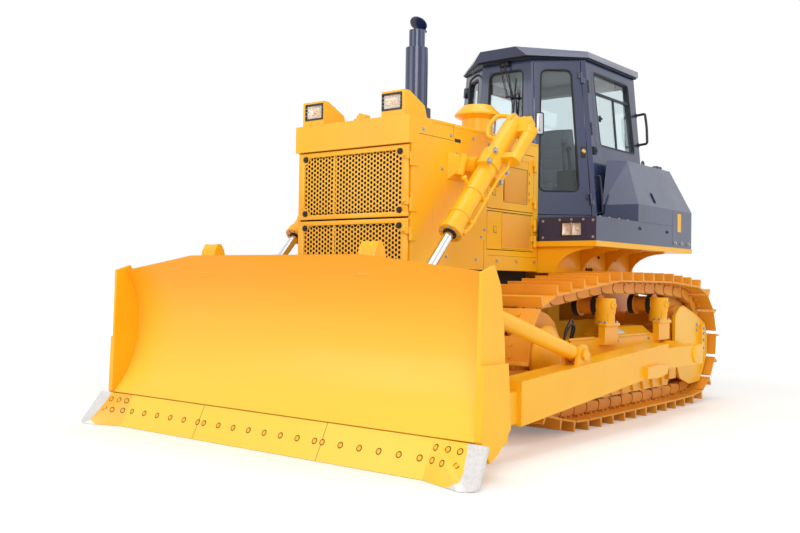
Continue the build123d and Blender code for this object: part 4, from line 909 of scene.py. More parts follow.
class BULLDOZER_OT_grilles(bpy.types.Operator):
    """Perforated sheet doors with rims, corner tabs and hinge knuckles in front of the radiator"""

    bl_idname = "bulldozer.grilles"
    bl_label = "Grille doors"

    def execute(self, context):
        for level, low, high, field_low, field_high in GRILLES:
            sheet = bmesh.new()
            self.perforated(sheet, field_low, field_high)
            rim = bmesh.new()
            self.rim(rim, low, high, field_low, field_high, GRILLE_KNUCKLES[level])
            for bm, piece in ((sheet, "grille_sheet_"), (rim, "grille_rim_")):
                made = settle(bm, piece + level, "yellow_enamel", "grille_" + level, 35)
                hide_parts("grille_" + level)
            buffers = bmesh.new()
            buffer_zs = (field_low + 0.012, field_high - 0.012) if level == "upper" else (field_high - 0.018,)
            for y in (-BUFFER_Y, BUFFER_Y):
                for z in buffer_zs:
                    add_turned(buffers, (
                        (-0.002, 0.024), (0.004, 0.024), (0.013, 0.020), (0.016, 0.013), (0.017, 0.0),
                    ), (GRILLE_FACE_X, y, z), AHEAD, 24)
            settle(buffers, "grille_buffers_" + level, "black_rubber", "grille_" + level)
        return {"FINISHED"}

    def perforated(self, bm, low, high):
        """A thin sheet of six-sided tiles, each with a round hole."""
        column_step = HOLE_PITCH * math.sqrt(3) / 2
        corner = HOLE_PITCH / math.sqrt(3)
        columns = int((2 * FIELD_HALF + 0.02) / column_step)
        rows = int((high - low + 0.02) / HOLE_PITCH)
        first = (low + high) / 2 - (rows - 1) / 2 * HOLE_PITCH
        for column in range(columns):
            for row in range(rows - column % 2):
                y = (column - (columns - 1) / 2) * column_step
                z = first + (row + (column % 2) / 2) * HOLE_PITCH
                outer, inner = [], []
                for k in range(HOLE_SIDES):
                    angle = math.tau * k / HOLE_SIDES
                    reach = corner if k % 2 == 0 else HOLE_PITCH / 2
                    turn = Vector((0, math.cos(angle), math.sin(angle)))
                    centre = Vector((GRILLE_FACE_X - 0.005, y, z))
                    outer.append(bm.verts.new(centre + turn * reach))
                    inner.append(bm.verts.new(centre + turn * HOLE_RADIUS))
                for k in range(HOLE_SIDES):
                    m = (k + 1) % HOLE_SIDES
                    bm.faces.new((outer[k], outer[m], inner[m], inner[k]))
        bmesh.ops.remove_doubles(bm, verts=bm.verts, dist=0.0002)
        bmesh.ops.recalc_face_normals(bm, faces=bm.faces)
        bmesh.ops.solidify(bm, geom=bm.faces[:], thickness=0.003)

    def rim(self, bm, low, high, field_low, field_high, knuckles):
        """The plain border, the corner tabs, the middle bar and the hinge knuckles."""
        back, face = GRILLE_BACK_X, GRILLE_FACE_X
        for box_low, box_high in (
            ((back, -GRILLE_HALF, low), (face, GRILLE_HALF, field_low)),
            ((back, -GRILLE_HALF, field_high), (face, GRILLE_HALF, high)),
            ((back, -GRILLE_HALF, field_low - 0.004), (face, -FIELD_HALF, field_high + 0.004)),
            ((back, FIELD_HALF, field_low - 0.004), (face, GRILLE_HALF, field_high + 0.004)),
        ):
            add_block(bm, box_low, box_high, 0.003)
        for side in (-1, 1):
            for z, way in ((field_low, 1), (field_high, -1)):
                corners = [(side * (FIELD_HALF + out), z + way * rise) for out, rise in GRILLE_TAB]
                back_ring = [bm.verts.new((face - 0.009, a, b)) for a, b in corners]
                face_ring = [bm.verts.new((face, a, b)) for a, b in corners]
                add_prism(bm, back_ring, face_ring)
        add_block(bm, (back, -0.182, field_low - 0.004), (face - 0.007, -0.168, field_high + 0.004), 0.001)
        for z in knuckles:
            add_rod(bm, (1.647, 0.570, z + 0.0003), (1.647, 0.570, z + 0.048), 0.013, sides=20)
            add_block(bm, (1.643, 0.540, z + 0.0003), (1.651, 0.570, z + 0.048), 0.001)
            add_block(bm, (1.652, 0.498, z + 0.002), (1.662, 0.560, z + 0.046), 0.003)
            add_rod(bm, (1.655, 0.545, z - 0.002), (1.655, 0.545, z + 0.050), 0.015, sides=18)
            add_bolt(bm, (1.662, 0.512, z + 0.024), AHEAD, 0.018)
            add_bolt(bm, (1.655, 0.545, z + 0.050), UP, 0.016)


# Lamps


# Name, middle, half width and half height of each lamp's glass, facing forward, and how far back it sits
LAMPS_SEEN = (
    ("head", (1.660, 0.3885, 2.4455), 0.084, 0.052, 0.0025),
    ("fender", (-0.100, 0.910, 1.600), 0.095, 0.055, 0.012),
)


class BULLDOZER_OT_lamps(bpy.types.Operator):
    """Frames, bowls, lenses and guard wires of the work lamps"""

    bl_idname = "bulldozer.lamps"
    bl_label = "Work lamps"

    def execute(self, context):
        frames, bowls, glass, wires = bmesh.new(), bmesh.new(), bmesh.new(), bmesh.new()
        for name, (x, y, z), half_y, half_z, setback in LAMPS_SEEN:
            front = x - setback
            back, guard = front - 0.022, front + 0.016
            for low, high in (
                ((-half_y - 0.010, half_z - 0.002), (half_y + 0.010, half_z + 0.012)),
                ((-half_y - 0.010, -half_z - 0.012), (half_y + 0.010, -half_z + 0.002)),
                ((-half_y - 0.010, -half_z), (-half_y + 0.004, half_z)),
                ((half_y - 0.004, -half_z), (half_y + 0.010, half_z)),
            ):
                corner = (front + 0.006, y + high[0], z + high[1])
                add_block(frames, (back, y + low[0], z + low[1]), corner, 0.003)
            halves = (-1, 1) if name == "fender" else (0,)
            for half in halves:
                reach = half_y / len(halves) - 0.006
                centre = Vector((back + 0.003, y + half * half_y / 2, z))
                self.bowl(bowls, centre, reach, half_z - 0.004)
            corner = (front - 0.004, y + half_y, z + half_z)
            add_block(glass, (front - 0.008, y - half_y, z - half_z), corner, 0.001)
            if name == "head":
                for rise in (-0.028, 0.0, 0.028):
                    add_pipe(wires, (
                        (front - 0.002, y - half_y - 0.008, z + rise), (guard, y - half_y - 0.004, z + rise),
                        (guard, y + half_y + 0.004, z + rise), (front - 0.002, y + half_y + 0.008, z + rise),
                    ), 0.0022, 6, 3)
            else:
                corner = (front + 0.008, y + 0.006, z + half_z)
                add_block(wires, (front - 0.003, y - 0.006, z - half_z), corner, 0.002)
                for shift in (-0.11, 0.0, 0.11):
                    add_bolt(wires, (-0.110, y + shift, z + 0.078), AHEAD, 0.013)
        for bm in (frames, bowls, glass, wires):
            mirror_copy(bm)
        settle(frames, "lamp_frames", "black_plastic", "chassis", 35)
        bowl = settle(bowls, "lamp_bowls", "lamp_reflector", "chassis", 50)
        lens = settle(glass, "lamp_covers", "lamp_glass", "chassis", 35)
        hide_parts("lamp_lenses")
        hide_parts("lamp_lenses")
        settle(wires, "lamp_guards", "zinc_plate", "chassis", 35)
        return {"FINISHED"}

    def bowl(self, bm, centre, half_y, half_z):
        """A shallow square dish with a bulb's dome in it."""
        steps = 6
        grid = []
        for row in range(steps + 1):
            line = []
            for column in range(steps + 1):
                across = -1 + 2 * column / steps
                rise = -1 + 2 * row / steps
                depth = 0.012 * max(across * across, rise * rise)
                line.append(bm.verts.new(centre + Vector((depth, across * half_y, rise * half_z))))
            grid.append(line)
        for here, after in zip(grid, grid[1:]):
            for n in range(steps):
                bm.faces.new((here[n], here[n + 1], after[n + 1], after[n]))
        add_turned(bm, ((0.0, 0.010), (0.008, 0.010), (0.013, 0.006), (0.015, 0.0)), centre, AHEAD, 16)


# Cab


# Plan corners of the cab in millimetres, front right first, then round by the left, at its foot and its top
CAB_LOW = ((-463, -341), (-463, 341), (-813, 798), (-1855, 798), (-1855, -798), (-813, -798))
CAB_TOP = ((-509, -262), (-509, 262), (-810, 655), (-1845, 655), (-1845, -655), (-810, -655))
# Plan corners of the roof's edge, in the same order
ROOF_EDGE = ((-389, -288), (-389, 288), (-800, 698), (-1860, 700), (-1860, -700), (-800, -698))
CAB_LOW_Z = 1703
CAB_TOP_Z = 3205
FRONT, LEFT_DOOR, LEFT_SIDE, REAR = range(4)
# Corners and corner radius of each window's cut in its panel, then the sight line that its frame leaves
HOLES = {
    FRONT: (((-265, 560), (265, 560), (220, 1410), (-220, 1410)), 60),
    LEFT_SIDE: (((-440, 720), (400, 720), (360, 1410), (-420, 1410)), 40),
    REAR: (((-600, 720), (600, 720), (560, 1410), (-560, 1410)), 50),
}
SIGHT_LINES = {
    FRONT: ((-200, 560), (200, 560), (187, 1410), (-187, 1410)),
    LEFT_SIDE: ((-345, 720), (400, 720), (360, 1410), (-392, 1410)),
    REAR: ((-600, 720), (600, 720), (560, 1410), (-560, 1410)),
}
DOOR_HOLE = ((-244, 270), (127, 270), (50, 1400), (-234, 1400))
DOOR_HOLE_RADIUS = 60
PANE_FACE = -24


def wall_place(n):
    """A matrix from a wall's own millimetres (along, up, out) to the machine's metres."""
    low = [Vector((*CAB_LOW[k % 6], CAB_LOW_Z)) for k in (n, n + 1)]
    top = [Vector((*CAB_TOP[k % 6], CAB_TOP_Z)) for k in (n, n + 1)]
    foot = (low[0] + low[1]) / 2
    along = (low[1] - low[0]).normalized()
    out = along.cross((top[0] + top[1]) / 2 - foot).normalized()
    up = out.cross(along)
    turn = Matrix((along, up, out)).transposed().to_4x4()
    return Matrix.Scale(0.001, 4) @ Matrix.Translation(foot) @ turn


def out_of(place):
    """A wall's outward way."""
    return place.to_3x3() @ UP


def inset_outline(points, distance):
    """An outline moved inward, given anticlockwise."""
    moved = []
    for before, here, after in zip(points[-1:] + points[:-1], points, points[1:] + points[:1]):
        first, second = (here - before).normalized(), (after - here).normalized()
        normal = Vector((-first.y - second.y, first.x + second.x))
        moved.append(here + normal * distance / (1 + first.dot(second)))
    return moved


def round_outline(points, radius, steps=6):
    """An outline with each corner turned into an arc."""
    line = []
    for before, here, after in zip(points[-1:] + points[:-1], points, points[1:] + points[:1]):
        first, second = (here - before).normalized(), (after - here).normalized()
        turn = math.atan2(first.x * second.y - first.y * second.x, first.dot(second))
        cut = radius * math.tan(abs(turn) / 2)
        side = Vector((-first.y, first.x)) * math.copysign(radius, turn)
        centre = here - first * cut + side
        for step in range(steps + 1):
            angle = turn * step / steps
            spoke = -side
            line.append(centre + Vector((
                spoke.x * math.cos(angle) - spoke.y * math.sin(angle),
                spoke.x * math.sin(angle) + spoke.y * math.cos(angle),
            )))
    return line


def add_rings(bm, place, rows):
    """A closed frame whose rows are outline, corner radius and depth, in a wall's own millimetres."""
    rings = []
    for outline, radius, depth in rows:
        line = round_outline([Vector(p) for p in outline], radius)
        rings.append([bm.verts.new(place @ Vector((p.x, p.y, depth))) for p in line])
    count = len(rings[0])
    for ring, following in zip(rings, rings[1:] + rings[:1]):
        for k in range(count):
            m = (k + 1) % count
            bm.faces.new((ring[k], ring[m], following[m], following[k]))


def add_seal(bm, place, outline, radius, outside, inside, low, high):
    """A rubber frame along an outline, from outside it to inside it, between two depths."""
    soft = min(outside + inside, high - low) * 0.3
    rows = []
    for inward, depth in (
        (-outside, low), (-outside, high - soft), (soft - outside, high), (inside - soft, high),
        (inside, high - soft), (inside, low),
    ):
        rows.append((inset_outline([Vector(p) for p in outline], inward), max(radius - inward, 4), depth))
    add_rings(bm, place, rows)


def add_window_post(bm, place, hole, sight, radius):
    """The pressed skin between a panel's cut and its sight line, turned in to the pane."""
    wide = inset_outline([Vector(p) for p in hole], -9)
    back = inset_outline([Vector(p) for p in sight], -4)
    add_rings(bm, place, (
        (wide, radius + 9, 0.2), (wide, radius + 9, 1.4), (sight, radius, 1.8), (sight, radius, PANE_FACE),
        (back, radius + 4, PANE_FACE), (back, radius + 4, 0.2),
    ))


def add_wall_block(bm, place, low, high, bevel=0.0):
    """A block given in a wall's own millimetres."""
    add_block(bm, low, high, bevel, 2, place)


def wall_pipe(bm, place, points, radius, sides=10, bend=4):
    """A bent bar given in a wall's own millimetres; the radius is in metres."""
    add_pipe(bm, [place @ Vector(p) for p in points], radius, sides, bend)


class BULLDOZER_OT_cab(bpy.types.Operator):
    """Window seals, posts and bars, wipers, grab handles, drip rail, lining and dash of the cab"""

    bl_idname = "bulldozer.cab"
    bl_label = "Cab trim"

    def execute(self, context):
        seals, posts = bmesh.new(), bmesh.new()
        for n, (outline, radius) in HOLES.items():
            places = [wall_place(n)]
            if n == LEFT_SIDE:
                places.append(Matrix.Diagonal((1, -1, 1, 1)) @ places[0])
            for place in places:
                if SIGHT_LINES[n] != outline:
                    add_window_post(posts, place, outline, SIGHT_LINES[n], radius)
                add_seal(seals, place, SIGHT_LINES[n], radius, 7, 14, -26, 4)
        settle(seals, "window_seals", "black_rubber", "chassis", 50)
        settle(posts, "window_posts", "navy_enamel", "chassis", 35)
        bars = bmesh.new()
        self.side_window(bars)
        mirror_copy(bars)
        settle(bars, "side_window_bars", "black_plastic", "chassis", 35)
        self.wipers()
        self.handles()
        self.roof()
        self.lining()
        return {"FINISHED"}

    def side_window(self, bm):
        """The transom, the sliding pane's upright and its latch."""
        place = wall_place(LEFT_SIDE)
        add_wall_block(bm, place, (-384, 1205, -30), (372, 1230, -8), 3)
        add_wall_block(bm, place, (20, 722, -31), (44, 1208, -12), 2)
        add_wall_block(bm, place, (-345, 722, -30), (398, 736, -10), 2)
        add_wall_block(bm, place, (-292, 955, -26), (-272, 1015, -6), 4)
        add_wall_block(bm, place, (-286, 975, -12), (-262, 995, 4), 3)

    def wipers(self):
        """Two arms with long blades that hang from motors above the windscreen."""
        arms = bmesh.new()
        place = wall_place(FRONT)
        for top_u, low_u, low_v, lean in ((-50, 28, 1165, 0), (6, 92, 1160, 14)):
            wall_pipe(arms, place, (
                (top_u, 1475, 0), (top_u, 1475, 34 + lean), (top_u + 4, 1455, 38 + lean),
                (low_u, low_v, 26 + lean),
            ), 0.0042)
            wall_pipe(arms, place, (
                (top_u + 14, 1475, 8), (top_u + 18, 1455, 36 + lean), (low_u + 14, low_v, 26 + lean),
            ), 0.003)
            add_wall_block(arms, place, (top_u - 20, 1452, 2), (top_u + 34, 1500, 26 + lean), 6)
            add_wall_block(arms, place, (low_u - 14, low_v - 10, 10), (low_u + 30, low_v + 10, 32 + lean), 4)
        for u0, v0, u1, v1 in ((36, 1380, 96, 1010), (118, 1330, 86, 820)):
            mid_u, mid_v = (u0 + u1) / 2 + 3, (v0 + v1) / 2
            wall_pipe(arms, place, ((u0, v0, 12), (mid_u, mid_v, 20), (u1, v1, 10)), 0.0055, 8, 3)
            wall_pipe(arms, place, ((u0, v0, 3), (mid_u, mid_v, 9), (u1, v1, 2)), 0.0028, 6, 3)
        settle(arms, "windscreen_wipers", "black_plastic", "chassis", 40)

    def handles(self):
        """The grab handle behind each side window, and the rail beside the windscreen with its clamp."""
        bars = bmesh.new()
        place = wall_place(LEFT_SIDE)
        wall_pipe(bars, place, (
            (500, 1128, -2), (500, 1128, 60), (500, 1128, 96), (500, 1000, 104), (500, 829, 96),
            (500, 829, 40), (500, 829, -2),
        ), 0.0125, 14, 6)
        for v in (1128, 829):
            foot = place @ Vector((500, v, 0))
            add_turned(bars, ((0.0, 0.024), (0.004, 0.024), (0.006, 0.014)), foot, out_of(place), 18)
        mirror_copy(bars)
        add_pipe(bars, (
            (-0.500, -0.400, 1.760), (-0.500, -0.412, 2.950), (-0.512, -0.405, 3.080),
            (-0.560, -0.370, 3.130), (-0.575, -0.330, 3.135),
        ), 0.010, 12, 6)
        add_rod(bars, (-0.500, -0.412, 2.935), (-0.500, -0.412, 2.975), 0.016, sides=14)
        add_turned(bars, (
            (0.0, 0.0), (0.006, 0.014), (0.016, 0.018), (0.026, 0.014), (0.032, 0.0),
        ), (-0.500, -0.428, 2.955), (0.2, -1, 0), 16)
        settle(bars, "grab_handles", "black_plastic", "chassis", 40)

    def roof(self):
        """A drip rail under the roof, half way between the walls and the roof's edge."""
        rail = bmesh.new()
        outer = [Vector(p).lerp(Vector(q), 0.5) for p, q in zip(CAB_TOP, ROOF_EDGE)]
        for here, after in zip(outer, outer[1:] + outer[:1]):
            add_pipe(rail, [machine(p.x, p.y, CAB_TOP_Z - 5) for p in (here, after)], 0.007, 8)
        settle(rail, "roof_drip_rail", "black_rubber", "chassis", 40)

    def lining(self):
        """Felt under the roof, a dark mat on the floor and the dash under the windscreen."""
        felt = bmesh.new()
        inner = [Vector((-1190, 0)).lerp(Vector(p), 0.93) for p in CAB_TOP[::-1]]
        low = [felt.verts.new(machine(p.x, p.y, CAB_TOP_Z - 22)) for p in inner]
        top = [felt.verts.new(machine(p.x, p.y, CAB_TOP_Z - 1)) for p in inner]
        add_prism(felt, low, top)
        edges = [e for e in felt.edges if e.verts[0] in low and e.verts[1] in low]
        bmesh.ops.bevel(felt, geom=edges, offset=0.012, segments=3, profile=0.5, affect="EDGES", material=-1)
        # Padded box for the heater above the rear window
        add_block(felt, (-1.780, -0.480, 3.080), (-1.640, 0.480, 3.186), 0.020, 3)
        settle(felt, "cab_lining", "grey_lining", "chassis", 40)
        dash = bmesh.new()
        add_block(dash, (-0.700, -0.250, 1.700), (-0.560, 0.250, 2.330), 0.020, 3)
        add_block(dash, (-0.760, -0.230, 2.330), (-0.560, 0.230, 2.440), 0.025, 3)
        add_pipe(dash, ((-0.700, 0.0, 2.42), (-0.740, 0.0, 2.50), (-0.760, 0.0, 2.52)), 0.012, 10)
        for side in (-1, 1):
            add_pipe(dash, (
                (-0.86, side * 0.425, 2.19), (-0.83, side * 0.425, 2.34), (-0.84, side * 0.425, 2.42),
            ), 0.009, 10)
            add_turned(dash, (
                (0.0, 0.0), (0.004, 0.016), (0.020, 0.022), (0.044, 0.018), (0.054, 0.0),
            ), (-0.84, side * 0.425, 2.415), UP, 18)
        # Mat with ribs
        add_block(dash, (-0.98, -0.30, 1.703), (-0.60, 0.30, 1.712), 0.003)
        for n in range(9):
            add_block(dash, (-0.96 + n * 0.04, -0.28, 1.712), (-0.945 + n * 0.04, 0.28, 1.716), 0.001)
        settle(dash, "cab_dash", "black_plastic", "chassis", 40)


# Cab doors


GRIP_RECESS = ((-270, 794), (-206, 798), (-206, 992), (-270, 1002))


class BULLDOZER_OT_doors(bpy.types.Operator):
    """Seals, handle, lock, hinge leaves and grab bar of the two cab doors"""

    bl_idname = "bulldozer.doors"
    bl_label = "Cab door fittings"

    def execute(self, context):
        place = wall_place(LEFT_DOOR)
        for side, name in SIDES:
            body = "cab_door_" + name
            seal = bmesh.new()
            add_seal(seal, place, DOOR_HOLE, DOOR_HOLE_RADIUS, 6, 12, -26, 3)
            black = bmesh.new()
            self.black_parts(black, place)
            brass = bmesh.new()
            self.lock(brass, place)
            steel = bmesh.new()
            self.handle(steel, place)
            plate = bmesh.new()
            wide = inset_outline([Vector(p) for p in GRIP_RECESS], -7)
            inner = inset_outline(wide, 24)
            add_rings(plate, place, (
                (wide, 24, -20), (wide, 24, 1.5), (inset_outline(wide, 3), 22, 3.5), (inner, 6, 3.5),
                (inner, 6, -20),
            ))
            for bm, piece, paint, slot in (
                (seal, "door_seal_", "black_rubber", "dark_plastic"),
                (black, "door_fittings_", "black_plastic", "dark_plastic"),
                (brass, "door_lock_", "brass", "bare_steel"),
                (steel, "door_handle_", "zinc_plate", "bare_steel"),
                (plate, "door_grip_plate_", "navy_enamel", "navy_paint"),
            ):
                flip(bm, side)
                settle(bm, piece + name, paint, body, 40)
        posts = bmesh.new()
        self.post_parts(posts)
        mirror_copy(posts)
        settle(posts, "door_post_fittings", "black_plastic", "chassis", 40)
        return {"FINISHED"}

    def black_parts(self, bm, place):
        """Hinge leaves, the lock's housing and the grip's frame."""
        for u, v in ((182, 200), (98, 1320)):
            add_wall_block(bm, place, (u, v - 4, 0), (u + 36, v + 52, 7), 2)
        add_wall_block(bm, place, (138, 590, -2), (178, 690, 20), 5)
        add_seal(bm, place, GRIP_RECESS, 20, 4, 4, 0, 8)

    def lock(self, bm, place):
        """The turned lock and the bar of its key slot."""
        add_turned(bm, (
            (0.0, 0.020), (0.006, 0.020), (0.008, 0.017), (0.014, 0.016), (0.016, 0.013), (0.013, 0.010),
            (0.013, 0.0),
        ), place @ Vector((158, 640, 18)), out_of(place), 24)
        add_wall_block(bm, place, (156, 632, 30), (160, 648, 34), 0.8)

    def handle(self, bm, place):
        """A pale recessed grip with a pull lever."""
        add_wall_block(bm, place, (-268, 802, 3.5), (-210, 990, 5), 0.6)
        lever = ((-240, 830, 4), (-240, 830, 26), (-240, 956, 26), (-240, 956, 4))
        wall_pipe(bm, place, lever, 0.0075, 12, 5)

    def post_parts(self, bm):
        """The striker block and short bar on the post behind the door, and its hinge strips."""
        place = wall_place(LEFT_SIDE)
        add_wall_block(bm, place, (-506, 622, 0), (-462, 694, 22), 5)
        add_wall_block(bm, place, (-500, 640, 20), (-470, 676, 34), 4)
        wall_pipe(bm, place, (
            (-494, 418, 0), (-494, 418, 44), (-494, 250, 50), (-494, 78, 44), (-494, 78, 0),
        ), 0.011, 12, 6)
        for v in (340, 858, 1250):
            add_wall_block(bm, place, (-518, v - 60, -2), (-496, v + 60, 5), 2)
            for n in range(5):
                centre = place @ Vector((-507, v - 48 + n * 24, 4))
                add_bolt(bm, centre, out_of(place), 0.011, washer=False)


# Seat


PAD_CELLS = 44
# Seams of a pad, across and along it, as a share of its half size
PAD_SIDE_SEAMS = (-0.56, 0.56)
PAD_CROSS_SEAMS = (-0.34, 0.0, 0.34)


class BULLDOZER_OT_seat(bpy.types.Operator):
    """A crowned, seamed cushion and back in place of the plain seat"""

    bl_idname = "bulldozer.seat"
    bl_label = "Seat"

    def execute(self, context):
        cushion = self.pad("seat_cushion", 0.45, 0.47, 0.13)
        cushion.data.transform(Matrix.Translation((-1.190, 0.0, 2.032)))
        back = self.pad("seat_back", 0.58, 0.44, 0.10)
        lean = Matrix.Rotation(math.radians(99.5), 4, "Y")
        back.data.transform(Matrix.Translation((-1.440, 0.0, 2.395)) @ lean)
        shell = bmesh.new()
        add_block(shell, (-1.430, -0.225, 1.957), (-0.975, 0.225, 1.975), 0.008, 3)
        for y in (-0.18, 0.18):
            add_pipe(shell, ((-1.42, y, 1.965), (-1.46, y, 2.06), (-1.555, y, 2.60)), 0.013, 10)
        piece = settle(shell, "seat_shell", "black_plastic", "chassis", 40)
        for made in (cushion, back, piece):
            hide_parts("seat")
        return {"FINISHED"}

    def pad(self, name, length, width, height):
        """A cushion made as a panelled pillow: crowned, with sunk seams and a raised roll at each side."""
        bm = bmesh.new()
        grids = []
        for face in (1, -1):
            grid = []
            for row in range(PAD_CELLS + 1):
                line = []
                for column in range(PAD_CELLS + 1):
                    across = -1 + 2 * column / PAD_CELLS
                    along = -1 + 2 * row / PAD_CELLS
                    # A squircle plan keeps the corners soft
                    bend = 1 - 0.035 * (across * across * along * along)
                    edge = (1 - abs(across) ** 8) * (1 - abs(along) ** 8)
                    rise = height / 2 * (0.35 + 0.65 * max(edge, 0.0) ** 0.4)
                    if face > 0:
                        for seam in PAD_SIDE_SEAMS:
                            rise -= 0.010 * math.exp(-((across - seam) / 0.035) ** 2)
                        for seam in PAD_CROSS_SEAMS:
                            if abs(across) < PAD_SIDE_SEAMS[1]:
                                rise -= 0.006 * math.exp(-((along - seam) / 0.03) ** 2)
                        rise += 0.014 * math.exp(-((abs(across) - 0.80) / 0.18) ** 2)
                    corner = (along * length / 2 * bend, across * width / 2 * bend, face * rise)
                    line.append(bm.verts.new(corner))
                grid.append(line)
            grids.append(grid)
        for grid, turned in zip(grids, (False, True)):
            for here, after in zip(grid, grid[1:]):
                for n in range(PAD_CELLS):
                    quad = (here[n], here[n + 1], after[n + 1], after[n])
                    bm.faces.new(quad[::-1] if turned else quad)
        rims = []
        for grid in grids:
            right, left = [line[-1] for line in grid[1:]], [line[0] for line in grid[-2:0:-1]]
            rims.append(grid[0][:] + right + grid[-1][-2::-1] + left)
        count = len(rims[0])
        for k in range(count):
            m = (k + 1) % count
            bm.faces.new((rims[0][k], rims[0][m], rims[1][m], rims[1][k]))
        piece = settle(bm, name, "seat_vinyl", "chassis", 60)
        return piece


# Tracks and their frames


TRACK_Y = 1.000
SHOE_HALF = 0.280
RAIL_FACE = 0.110
LINK_OVERLAP = 0.004
LINK_NOSE = 0.036
LINK_HOLLOW = 0.052
LINK_EYE = -0.008
# Centres of the sprocket and the idler
TRACK_MIDDLE = (Vector((-1.985, 0.0, 0.608)), Vector((0.745, 0.0, 0.600)))
# From a shoe's base line down to the pin line
PIN_LINE_DROP = 0.044
CARRIER_XS = (-0.260, -1.350)
CARRIER_Z = 0.962


def shoe_ends(mesh):
    """The outer end of each shoe of the left track: its points, and the way its flat back runs."""
    bm = bmesh.new()
    bm.from_mesh(mesh)
    bmesh.ops.remove_doubles(bm, verts=bm.verts, dist=0.00001)
    others = [
        f for f in bm.faces
        if abs(f.normal.y) < 0.99 or abs(f.calc_center_median().y - TRACK_Y - SHOE_HALF) > 0.002
    ]
    bmesh.ops.delete(bm, geom=others, context="FACES")
    seen, groups = set(), []
    for vert in bm.verts:
        if vert in seen:
            continue
        group, front = [], [vert]
        seen.add(vert)
        while front:
            here = front.pop()
            group.append(here)
            for edge in here.link_edges:
                there = edge.other_vert(here)
                if there not in seen:
                    seen.add(there)
                    front.append(there)
        rim = {edge for member in group for edge in member.link_edges if edge.is_boundary}
        back = max(rim, key=lambda edge: edge.calc_length())
        run = (back.verts[1].co - back.verts[0].co).normalized()
        groups.append(([member.co.copy() for member in group], run))
    bm.free()
    return groups


def link_places():
    """For each shoe of the left track: its middle on the pin line, its two ways and half its length."""
    places = []
    foot, head = TRACK_MIDDLE
    for shoe, run in shoe_ends(frame["nodes"]["track_left"].data):
        out = Vector((-run.z, 0, run.x))
        middle = sum(shoe, Vector()) / len(shoe)
        share = min(max((middle - foot).dot(head - foot) / (head - foot).length_squared, 0.0), 1.0)
        centre_line = foot.lerp(head, share)
        away = Vector((middle.x - centre_line.x, 0, middle.z - centre_line.z))
        if out.dot(away) < 0:
            out = -out
        along = Vector((-out.z, 0, out.x))
        tips = sorted(shoe, key=lambda p: p.dot(out))[-4:]
        reach = [p.dot(along) for p in shoe]
        centre_along = (min(reach) + max(reach)) / 2
        if sum(p.dot(along) for p in tips) / 4 > centre_along:
            along = -along
            centre_along = -centre_along
        base = min(p.dot(out) for p in shoe)
        half = (max(reach) - min(reach)) / 2
        places.append((along * centre_along + out * (base - PIN_LINE_DROP), along, out, half))
    return places


